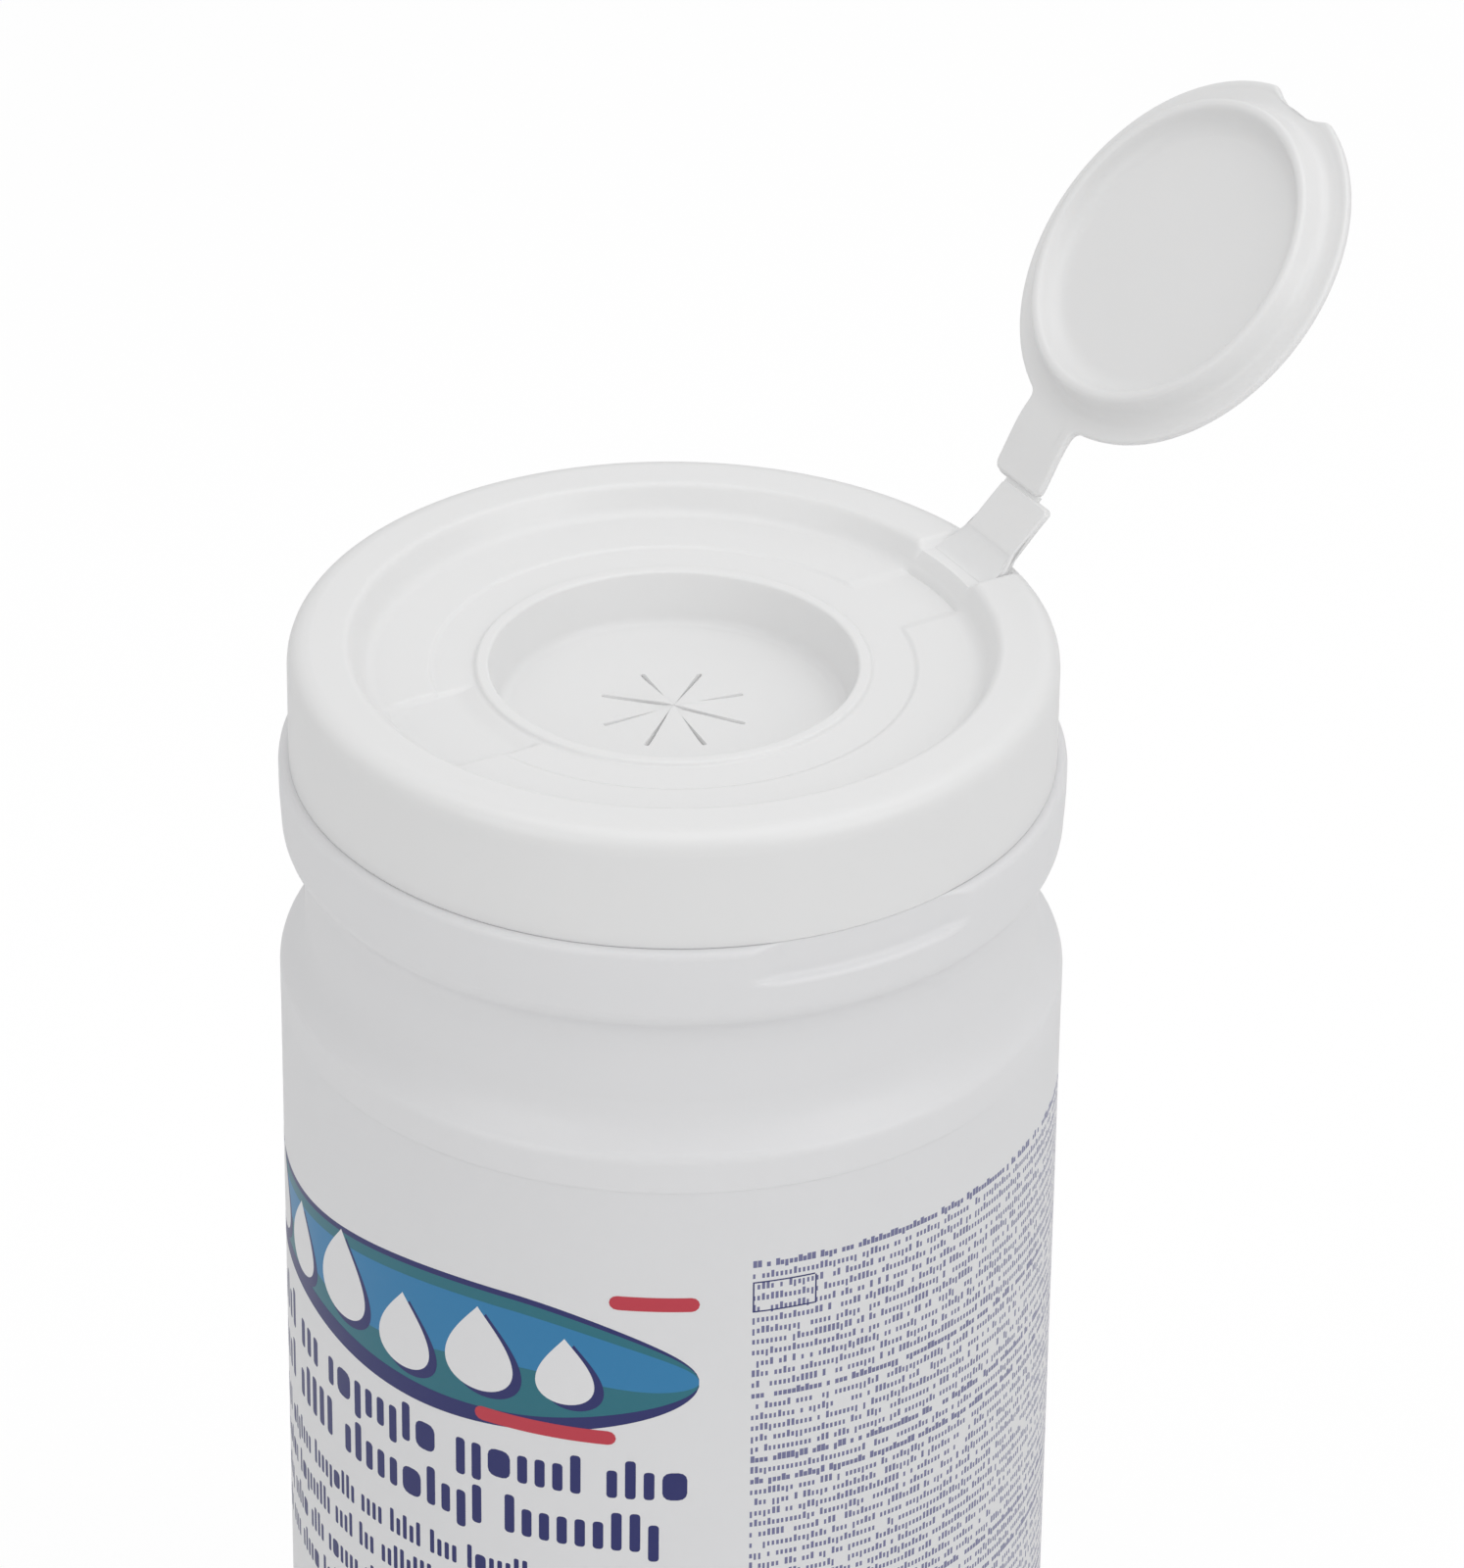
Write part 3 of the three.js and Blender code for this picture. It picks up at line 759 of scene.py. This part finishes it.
finger_corner = 4 * mm
finger_depth = 0.5 * mm
seal_depth = 5 * mm
slit_count = 8
slit_azimuth = math.radians(39)
slit_reach = 10.2 * mm
slit_width = 0.8 * mm
slit_tip_width = 0.05 * mm
petal_rise = 0.7 * mm


def cap_section():
    """The cap's section from the well's underside out to the skirt and back over the top. Also
    gives the row where the topside starts."""
    seal_outer = neck_radius - bottle_wall - 0.3 * mm
    seal_inner = seal_outer - 1.2 * mm
    plate_under = cap_top - plate
    under = [
        (0, well_level - plate, 0),
        (well_foot + plate, well_level - plate, 0.8 * mm),
        (lip_radius, seat_level - plate, 0.6 * mm),
        (recess_foot + plate, seat_level - plate, 1 * mm),
        (rim_inner + plate, plate_under, 0.5 * mm),
        (seal_inner, plate_under, 0.4 * mm),
        (seal_inner, cap_top - seal_depth, 0.3 * mm),
        (seal_outer - 0.6 * mm, cap_top - seal_depth, 0.3 * mm),
        (seal_outer, plate_under - 1.2 * mm, 0.4 * mm),
        (seal_outer, plate_under, 0.3 * mm),
        (skirt_inner, plate_under, 0.6 * mm),
        (skirt_inner, cap_low[2], 0.25 * mm),
    ]
    over = [
        (cap_radius, cap_low[2], 0.15 * mm),
        (cap_radius, cap_top, 3 * mm),
        (rim_inner, cap_top, 0.8 * mm),
        (recess_foot, recess_level, 1.4 * mm),
        (seat_radius + 0.25 * mm, recess_level, 0.25 * mm),
        (seat_radius - 0.25 * mm, seat_level, 0.25 * mm),
        (lip_radius + 0.35 * mm, seat_level, 0.35 * mm),
        (lip_radius, lip_level, 0.3 * mm),
        (well_radius, lip_level, 0.4 * mm),
        (well_foot, well_level, 1.2 * mm),
        (0, well_level, 0),
    ]
    section = eased(under + over, steps=6, longest=1.4 * mm)
    top_start = int(np.argmax(section[:, 0] > skirt_inner + 0.4 * mm))
    return section, top_start


def cap_azimuths(radius):
    """Azimuths of the columns, row by row. Beyond the lip, the columns near the strap's channel
    and near the finger hollow run straight out at set distances from the Y axis."""
    start_radius = 27 * mm
    reach = np.maximum(radius, start_radius)[:, None]
    edge = np.array([-1.1, -0.8, -0.55, -0.3, -0.1, 0.1, 0.3, 0.55, 0.8, 1.1]) * mm
    channel = np.concatenate((channel_half + edge, np.linspace(0, channel_half - 2 * mm, 5)))
    hollow = np.concatenate((finger_half + edge, np.linspace(0, finger_half - 2 * mm, 8)))
    channel = np.unique(np.concatenate((channel, -channel)))[::-1]
    hollow = np.unique(np.concatenate((hollow, -hollow)))
    strap_side = math.pi / 2 - np.arcsin(channel[None, :] / reach)
    finger_side = 3 * math.pi / 2 + np.arcsin(hollow[None, :] / reach)
    share = np.linspace(0, 1, 105)[None, 1:-1]
    left = strap_side[:, -1:] * (1 - share) + finger_side[:, :1] * share
    right = finger_side[:, -1:] * (1 - share) + (strap_side[:, :1] + 2 * math.pi) * share
    return np.hstack((strap_side, left, finger_side, right))


def sunk(level, floor, share):
    """Lowers the level towards a floor where share is 1, and leaves what lies below it."""
    return level + share * np.minimum(floor - level, 0)


def cap_shell():
    """The turned section with its own features: the strap's channel across rim and seat, the
    pad that backs it, the finger hollow, and the petals' lift."""
    section, top_start = cap_section()
    radius = section[:, :1]
    azimuth = cap_azimuths(section[:, 0])
    x, y, z = turned(radius, section[:, 1:], azimuth)
    z = z.copy()
    over = np.arange(len(section))[:, None] >= top_start
    from_middle = np.abs(x)
    across = 1 - smooth_step(
        from_middle, channel_half - channel_soft, channel_half + channel_soft)
    across_seat = 1 - smooth_step(
        from_middle, channel_half - seat_channel_soft, channel_half + seat_channel_soft)
    behind = y > 0
    rim = behind & over & (radius > recess_foot)
    z = np.where(rim, sunk(z, channel_level, across), z)
    seat = behind & over & (radius > lip_radius + 0.8 * mm) & (radius < recess_foot)
    z = np.where(seat, sunk(z, seat_level, across_seat), z)
    pad = behind & ~over & (radius > rim_inner + plate) & (radius < skirt_inner)
    z = np.where(pad, sunk(z, channel_level - plate, across), z)
    beyond_x = from_middle - (finger_half - finger_corner)
    beyond_y = -y - (finger_reach - finger_corner)
    outside = np.hypot(np.maximum(beyond_x, 0), np.maximum(beyond_y, 0)) - finger_corner
    inside = 1 - smooth_step(outside, -0.7 * mm, 0.3 * mm)
    front = (y < 0) & over & (radius > lip_radius + 0.9 * mm) & (radius < recess_foot + 1 * mm)
    z = np.where(front, sunk(z, seat_level - finger_depth, inside), z)
    petal = np.floor((azimuth - slit_azimuth) / (2 * math.pi / slit_count))
    uneven = 1 + 0.45 * np.sin(2.3 * petal + 1)
    petal_foot = slit_reach + 0.4 * mm
    near_centre = np.clip(1 - radius / petal_foot, 0, 1)
    z = np.where(radius < petal_foot, z + petal_rise * uneven * near_centre**1.5, z)
    return closed_grid("cap_shell", x, y, z, poles=True)


def slit_cutter():
    """A star-shaped bar whose arms narrow towards the centre of the well. In section each arm is
    a wide groove in the well's floor with a narrow cut through its foot."""
    pitch = 2 * math.pi / slit_count
    arm = slit_azimuth + pitch * np.arange(slit_count)[:, None]
    levels = [
        (well_level - 2 * plate, slit_tip_width, slit_tip_width / 4),
        (well_level - 0.35 * mm, slit_tip_width, slit_tip_width / 4),
        (well_level + 0.05 * mm, slit_width, slit_tip_width / 2),
        (well_level + 2 * plate, slit_width, slit_tip_width / 2),
    ]
    layers = []
    for level, width, crotch_width in levels:
        crotch = crotch_width / 2 / math.sin(pitch / 2)
        end = width / 2 / slit_reach
        angle = (arm + np.array([-end, -end * 0.35, end * 0.35, end, pitch / 2])).reshape(-1)
        reach = np.array([0.985, 1, 1, 0.985, crotch / slit_reach]) * slit_reach
        radius = np.tile(reach, slit_count)
        layers.append(np.column_stack((
            radius * np.cos(angle), radius * np.sin(angle), np.full(len(radius), level),
        )))
    index = np.arange(len(layers) * len(layers[0])).reshape(len(layers), -1)
    faces = [index[0, ::-1].tolist(), index[-1].tolist()]
    faces += grid_faces(np.hstack((index, index[:, :1])))
    return mesh_piece("slit_cutter", np.vstack(layers).tolist(), faces)


def cut_away(piece, cutter):
    """Cuts the cutter out of the piece, keeps the result as the piece's mesh, and shades its
    smooth surfaces smooth up to a crease angle."""
    cut = piece.modifiers.new("cut", "BOOLEAN")
    cut.operation = "DIFFERENCE"
    cut.solver = "EXACT"
    cut.object = cutter
    bpy.context.view_layer.update()
    evaluated = piece.evaluated_get(bpy.context.evaluated_depsgraph_get())
    mesh = bpy.data.meshes.new_from_object(evaluated)
    piece.modifiers.clear()
    piece.data = mesh
    bpy.data.objects.remove(cutter)
    mesh.shade_smooth()
    mesh.set_sharp_from_angle(angle=math.radians(50))


cap_plastic = moulded_plastic(
    "cap_plastic", (0.82, 0.82, 0.82), roughness=0.34, grain=1100, depth=0.012 * mm, haze=0.15,
)
cap = cap_shell()
cut_away(cap, slit_cutter())
cap.data.materials.append(cap_plastic)
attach(cap, "cap")
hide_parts("cap")


# Strap
# The strap's first tab is part of the same moulding. It widens at its root on the cap, and a
# film thinned by a groove joins it to the lid's own tab at its other end.
strap_half_thickness = 0.5 * mm
hinge_reach = cap_radius - 3.3 * mm
hinge_place = Vector((0, hinge_reach, cap_top - strap_half_thickness))
open_angle = math.radians(47)
strap_frame = Matrix.Translation(hinge_place) @ Matrix.Rotation(open_angle, 4, "X")
strap_half_width = 5.5 * mm
strap_length = 10.5 * mm
strap_shift = 0.6 * mm
strap_flare = 0.75 * mm
strap_side_ease = 0.28 * mm
strap_corner = 1.1 * mm
strap_corner_run = 3 * mm
film_gap = 0.05 * mm
groove_run = 0.4 * mm


def lofted(name, x, y, z):
    """A closed mesh from rows that go round a section and columns that go across it: the last
    row joins the first, and the two end columns are capped."""
    rows, columns = x.shape
    index = np.arange(rows * columns).reshape(rows, columns)
    faces = grid_faces(np.vstack((index, index[:1])).T)
    faces += [index[::-1, 0].tolist(), index[:, -1].tolist()]
    points = np.stack((x, y, z), axis=-1).reshape(-1, 3)
    piece = mesh_piece(name, points.tolist(), faces)
    piece.data.shade_smooth()
    piece.data.set_sharp_from_angle(angle=math.radians(50))
    return piece


def in_frame(x, y, z, matrix):
    """The same points after a 4 by 4 placing matrix."""
    points = np.stack((x, y, z, np.ones_like(x)), axis=-1) @ np.array(matrix).T
    return points[..., 0], points[..., 1], points[..., 2]


def round_off(radius, from_edge):
    """How far a quarter circle of that radius falls back, at a distance from the edge."""
    return radius - np.sqrt(radius**2 - np.clip(radius - from_edge, 0, radius) ** 2)


def strap_tab():
    """The tab's lengthwise section carried across its width: round at the root, sloped down to
    the film at the far end. The width flares to the root, the side edges and the two far corners
    are round, and the far end shifts a little sideways."""
    half = strap_half_thickness
    end = strap_length - film_gap
    section = eased([
        (5 * mm, -half, 0),
        (-half, -half, half),
        (-half, half, half),
        (strap_length - groove_run, half, 0.1 * mm),
        (end, -0.2 * half, 0.05 * mm),
        (end, -half, 0.05 * mm),
        (5 * mm, -half, 0),
    ], steps=6, longest=0.6 * mm)[:-1]
    along = section[:, :1]
    level = section[:, 1:]
    flare = strap_flare * (1 - smooth_step(along, 0.4 * mm, 3.2 * mm))
    reach = strap_half_width + flare
    inset = np.array([0, 0.02, 0.08, 0.18, 0.32, 0.55, 0.8, 1.1]) * mm
    middle = np.linspace(-1, 1, 9)[None, 1:-1] * (reach - inset[-1])
    x = np.hstack((-reach + inset, middle, reach - inset[::-1]))
    from_side = reach - np.abs(x)
    share = np.clip((along - end + strap_corner_run) / strap_corner_run, 0, 1)
    z = level * (1 - round_off(strap_side_ease, from_side) / half)
    y = along - share * round_off(strap_corner, from_side)
    x = x + strap_shift * np.clip(along / strap_length, 0, 1)
    return lofted("strap_tab", *in_frame(x, y, z, strap_frame))


strap = strap_tab()
strap.data.materials.append(cap_plastic)
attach(strap, "strap")
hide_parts("hinge_strap")


# Lid
# The lid is the far end of the moulding: a flange with a thin raised edge, a ring plug that seals
# in the well, a sunk panel at the back, a thumb notch, and the second tab of the strap.
lid_centre = hinge_reach
lid_radius = 27.2 * mm
lid_columns = 520
lid_circle = 25.2 * mm
edge_insets = np.array([1.5, 1.2, 0.95, 0.7, 0.4, 0.2, 0.08, 0]) * mm
edge_ease = 0.4 * mm
edge_rise = 0.08 * mm
flange_top = 2.7 * mm
flange_back = 1.6 * mm
plug_foot = 23.6 * mm
plug_crest = 22.3 * mm
plug_wall = 1.2 * mm
plug_height = 3.6 * mm
panel_rise = 1 * mm
panel_recess = 0.9 * mm
tab_shift = -2.6 * mm
tab_half_width = 5.5 * mm
notch_radius = 12.6 * mm
notch_shift = 0.9 * mm
thumb_depth = 2.3 * mm
lid_frame = strap_frame @ Matrix.Translation((0, lid_centre, 0))


def smooth_least(first, second, blend):
    """The lower of two distances, eased into each other over the blend distance."""
    share = np.clip(0.5 + 0.5 * (second - first) / blend, 0, 1)
    return second * (1 - share) + first * share - blend * share * (1 - share)


def box_distance(x, y, low, high, corner):
    """Distance to a rectangle with round corners, below zero inside it."""
    middle = (np.array(low) + np.array(high)) / 2
    half = (np.array(high) - np.array(low)) / 2 - corner
    beyond_x = np.abs(x - middle[0]) - half[0]
    beyond_y = np.abs(y - middle[1]) - half[1]
    outside = np.hypot(np.maximum(beyond_x, 0), np.maximum(beyond_y, 0))
    return outside + np.minimum(np.maximum(beyond_x, beyond_y), 0) - corner


def walk_outline(distance, nearest, furthest, count):
    """Points and outward normals of the closed curve where a distance field is zero. The curve
    is found by halving along rays from the origin, then spaced evenly by length."""
    angle = np.linspace(0, 2 * math.pi, 6001)[:-1]
    low = np.full(angle.shape, nearest)
    high = np.full(angle.shape, furthest)
    for _ in range(40):
        middle = (low + high) / 2
        outside = distance(middle * np.cos(angle), middle * np.sin(angle)) > 0
        high = np.where(outside, middle, high)
        low = np.where(outside, low, middle)
    x = low * np.cos(angle)
    y = low * np.sin(angle)
    steps = np.hypot(np.diff(x, append=x[0]), np.diff(y, append=y[0]))
    length = np.concatenate(([0], np.cumsum(steps)))
    wanted = np.linspace(0, length[-1], count, endpoint=False)
    x = np.interp(wanted, length, np.append(x, x[0]))
    y = np.interp(wanted, length, np.append(y, y[0]))
    step_x = np.roll(x, -1) - np.roll(x, 1)
    step_y = np.roll(y, -1) - np.roll(y, 1)
    size = np.hypot(step_x, step_y)
    return np.stack((x, y)), np.stack((step_y / size, -step_x / size))


def lid_distance(x, y):
    """The lid's outline: a disc joined to the tab by soft corners, less the thumb notch."""
    disc = np.hypot(x, y) - lid_radius
    tab = box_distance(
        x, y,
        (tab_shift - tab_half_width, strap_length + film_gap - lid_centre),
        (tab_shift + tab_half_width, -15 * mm), 1.6 * mm,
    )
    body = smooth_least(disc, tab, 1.3 * mm)
    notch_centre = lid_radius - thumb_depth + notch_radius
    notch = notch_radius - np.hypot(x - notch_shift, y - notch_centre)
    return -smooth_least(-body, -notch, 0.5 * mm)


def flange_rows():
    """Rows of x and y from a circle outside the plug's foot to the lid's outline, with each
    row's inset from the outline, and the azimuths of the columns."""
    outline, normal = walk_outline(lid_distance, 15 * mm, 45 * mm, lid_columns)
    room = np.minimum(1, (np.hypot(*outline) - lid_circle) / (1.9 * mm))
    edge_rows = np.stack([outline - normal * inset * room for inset in edge_insets])
    azimuth = np.arctan2(edge_rows[0, 1], edge_rows[0, 0])
    circle = np.stack((lid_circle * np.cos(azimuth), lid_circle * np.sin(azimuth)))
    shares = np.linspace(0, 1, 7)[:-1, None, None]
    inner_rows = circle + shares * (edge_rows[0] - circle)
    rows = np.concatenate((inner_rows, edge_rows))
    inset = np.concatenate((np.full(len(inner_rows), edge_insets[0]), edge_insets))[:, None]
    return rows[:, 0], rows[:, 1], inset, azimuth


def flange_levels(y, inset):
    """Levels of the flange's plug side and back. Both round off at the edge and slope down to
    the film along the tab, and the plug side has a thin raised edge round the disc."""
    drop_in = round_off(edge_ease, inset)
    on_disc = smooth_step(y, -25.5 * mm, -23 * mm)
    raised = edge_rise * on_disc * (1 - smooth_step(inset, 0.8 * mm, 1.2 * mm))
    tab_share = np.clip((y + lid_radius) / (lid_radius - lid_centre + strap_length), 0, 1)
    ramp = tab_share * tab_share * (2.2 - 1.2 * tab_share)
    fall = (flange_back + strap_half_thickness) * ramp
    groove = np.clip((strap_length + groove_run - lid_centre - y) / (groove_run - film_gap), 0, 1)
    upper = flange_top - fall - drop_in + raised - groove * 1.7 * strap_half_thickness
    lower = flange_back - fall + drop_in
    return np.maximum(upper, lower), lower


def lid_plate():
    """The lid from the middle of its back, out to the rim and in to the middle of the plug
    side. Within lid_circle the rows are circles, and beyond it they change to the outline."""
    flange_x, flange_y, inset, azimuth = flange_rows()
    upper, lower = flange_levels(flange_y, inset)
    inner_wall = plug_crest - plug_wall
    panel_level = flange_top + panel_rise
    crest_level = flange_top + plug_height
    plug = eased([
        (lid_circle, flange_top, 0),
        (plug_foot, flange_top, 1.9 * mm),
        (plug_crest + 0.35 * mm, crest_level, 0.7 * mm),
        (inner_wall + 0.3 * mm, crest_level, 0.6 * mm),
        (inner_wall - 1.2 * mm, panel_level, 1.8 * mm),
        (0, panel_level, 0),
    ], steps=7, longest=2.5 * mm)[1:]
    back = eased([
        (0, flange_back + panel_recess, 0),
        (19 * mm, flange_back + panel_recess, 1 * mm),
        (20 * mm, flange_back, 0.8 * mm),
        (lid_circle, flange_back, 0),
    ], steps=6, longest=2.5 * mm)[:-1]
    back_x, back_y, back_z = turned(back[:, :1], back[:, 1:], azimuth)
    plug_x, plug_y, plug_z = turned(plug[:, :1], plug[:, 1:], azimuth)
    x = np.vstack((back_x, flange_x, flange_x[::-1], plug_x))
    y = np.vstack((back_y, flange_y, flange_y[::-1], plug_y))
    z = np.vstack((back_z, lower, upper[::-1], plug_z))
    return closed_grid("lid_plate", *in_frame(x, y, z, lid_frame), poles=True)


lid = lid_plate()
lid.data.materials.append(cap_plastic)
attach(lid, "lid")
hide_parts("flip_lid")


# Film hinges
# Two thin films of the same moulding, built fixed at the open pose, where the real strap bends as
# the
# lid moves: one from the floor of the cap's channel up onto the strap's root, and one in the groove
# between the strap and the lid's tab.
film_columns = 13
root_film_half = 6.3 * mm
root_film_run = 2.4 * mm
tab_film_points = 9
tab_film_run = 0.6 * mm
tab_film_face = 0.28 * mm
tab_film_thickness = 0.6 * mm


def film(name, face, back, sides, narrowed, matrix):
    """A strip across X between two paths of (y, z) points, its upper face and its back, and
    between its two sides. It gets narrower by the share narrowed towards the paths' far ends."""
    loop = np.vstack((back, face[::-1]))
    along = np.concatenate((np.linspace(0, 1, len(back)), np.linspace(1, 0, len(face))))
    across = np.linspace(*sides, film_columns)
    x = across * (1 - narrowed * smooth_step(along, 0.4, 1))[:, None]
    y = np.broadcast_to(loop[:, :1], x.shape)
    z = np.broadcast_to(loop[:, 1:], x.shape)
    piece = lofted(name, *in_frame(x, y, z, matrix))
    piece.data.materials.append(cap_plastic)
    return piece


def bend(start, corner, end):
    """Points on the quadratic curve (1-t)^2 start + 2t(1-t) corner + t^2 end."""
    share = np.linspace(0, 1, 16)[:, None]
    return (1 - share) ** 2 * start + 2 * share * (1 - share) * corner + share**2 * end


def root_paths():
    """The face leaves the channel's floor level and bends up onto the strap's upper face, and
    the back stays just under both."""
    hinge = np.array(hinge_place[1:])
    up = np.array((math.cos(open_angle), math.sin(open_angle)))
    out = np.array((-math.sin(open_angle), math.cos(open_angle)))
    floor = channel_level + 0.02 * mm
    on_strap = hinge + out * (strap_half_thickness + 0.03 * mm)
    corner = on_strap + up * (floor - on_strap[1]) / up[1]
    face = bend(corner - np.array((root_film_run, 0)), corner, on_strap + up * root_film_run)
    sink = np.array((0.6 * mm, -0.3 * mm))
    back = bend(face[0] + np.array((0, -0.3 * mm)), hinge + sink, face[-1] - out * 0.4 * mm)
    return face, back


root_film = film("root_film", *root_paths(), (-root_film_half, root_film_half), 0.16, Matrix())
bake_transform(root_film)

tab_reach = strap_length + np.linspace(-tab_film_run, tab_film_run, tab_film_points)
tab_face = np.column_stack((tab_reach, np.full(tab_film_points, tab_film_face)))
tab_under = tab_face - np.array((0, tab_film_thickness))
tab_film = film("tab_film", tab_face, tab_under, (-4.8 * mm, 2.8 * mm), 0, strap_frame)
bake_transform(tab_film)


# Floor, light and backdrop
# A pale floor that keeps the canister's shadow and looks white to the camera, a wide soft light
# overhead, weaker ones from both sides and behind, and an even white surround.
floor_half = 4
floor = mesh_piece("floor", [
    (-floor_half, -floor_half, 0), (floor_half, -floor_half, 0),
    (floor_half, floor_half, 0), (-floor_half, floor_half, 0),
], [(0, 1, 2, 3)])

floor_material = bpy.data.materials.new("pale_floor")
floor_material.use_nodes = True
floor_nodes = floor_material.node_tree.nodes
floor_links = floor_material.node_tree.links
floor_shader = floor_nodes["Principled BSDF"]
floor_shader.inputs["Base Color"].default_value = (0.85, 0.85, 0.85, 1)
floor_shader.inputs["Roughness"].default_value = 0.9
floor_glow = floor_nodes.new("ShaderNodeEmission")
floor_glow.inputs["Strength"].default_value = 1.06
floor_rays = floor_nodes.new("ShaderNodeLightPath")
floor_share = Chain(floor_material).math("MULTIPLY", floor_rays.outputs["Is Camera Ray"], 0.8)
floor_mix = floor_nodes.new("ShaderNodeMixShader")
floor_links.new(floor_share, floor_mix.inputs["Fac"])
floor_links.new(floor_shader.outputs["BSDF"], floor_mix.inputs[1])
floor_links.new(floor_glow.outputs["Emission"], floor_mix.inputs[2])
floor_links.new(floor_mix.outputs["Shader"], floor_nodes["Material Output"].inputs["Surface"])
floor.data.materials.append(floor_material)


def soft_light(name, place, size, power):
    """A square area light aimed at the canister's shoulder."""
    data = bpy.data.lights.new(name, "AREA")
    data.shape = "SQUARE"
    data.size = size
    data.energy = power
    lamp = bpy.data.objects.new(name, data)
    lamp.location = place
    aim = Vector((0, 0, cap_top * 0.8)) - Vector(place)
    lamp.rotation_euler = aim.to_track_quat("-Z", "Y").to_euler()
    bpy.context.scene.collection.objects.link(lamp)


soft_light("overhead", (0.1, 0.2, 1.6), 1.6, 7.2)
soft_light("front_right", (1.2, 0.5, 0.8), 0.9, 3.5)
soft_light("front_left", (0.4, -1.3, 0.8), 0.9, 2.8)
soft_light("behind", (-1.0, 0.9, 1.0), 0.9, 1)

world = bpy.data.worlds.new("surround")
world.use_nodes = True
world_nodes = world.node_tree.nodes
world_light = world_nodes["Background"]
world_light.inputs["Color"].default_value = (1, 1, 1, 1)
world_rays = world_nodes.new("ShaderNodeLightPath")
world_strength = world_nodes.new("ShaderNodeMapRange")
world_strength.inputs["To Min"].default_value = 0.57
world_strength.inputs["To Max"].default_value = 1
world.node_tree.links.new(world_rays.outputs["Is Camera Ray"], world_strength.inputs["Value"])
world.node_tree.links.new(world_strength.outputs["Result"], world_light.inputs["Strength"])
bpy.context.scene.world = world
bpy.context.scene.view_settings.view_transform = "Standard"
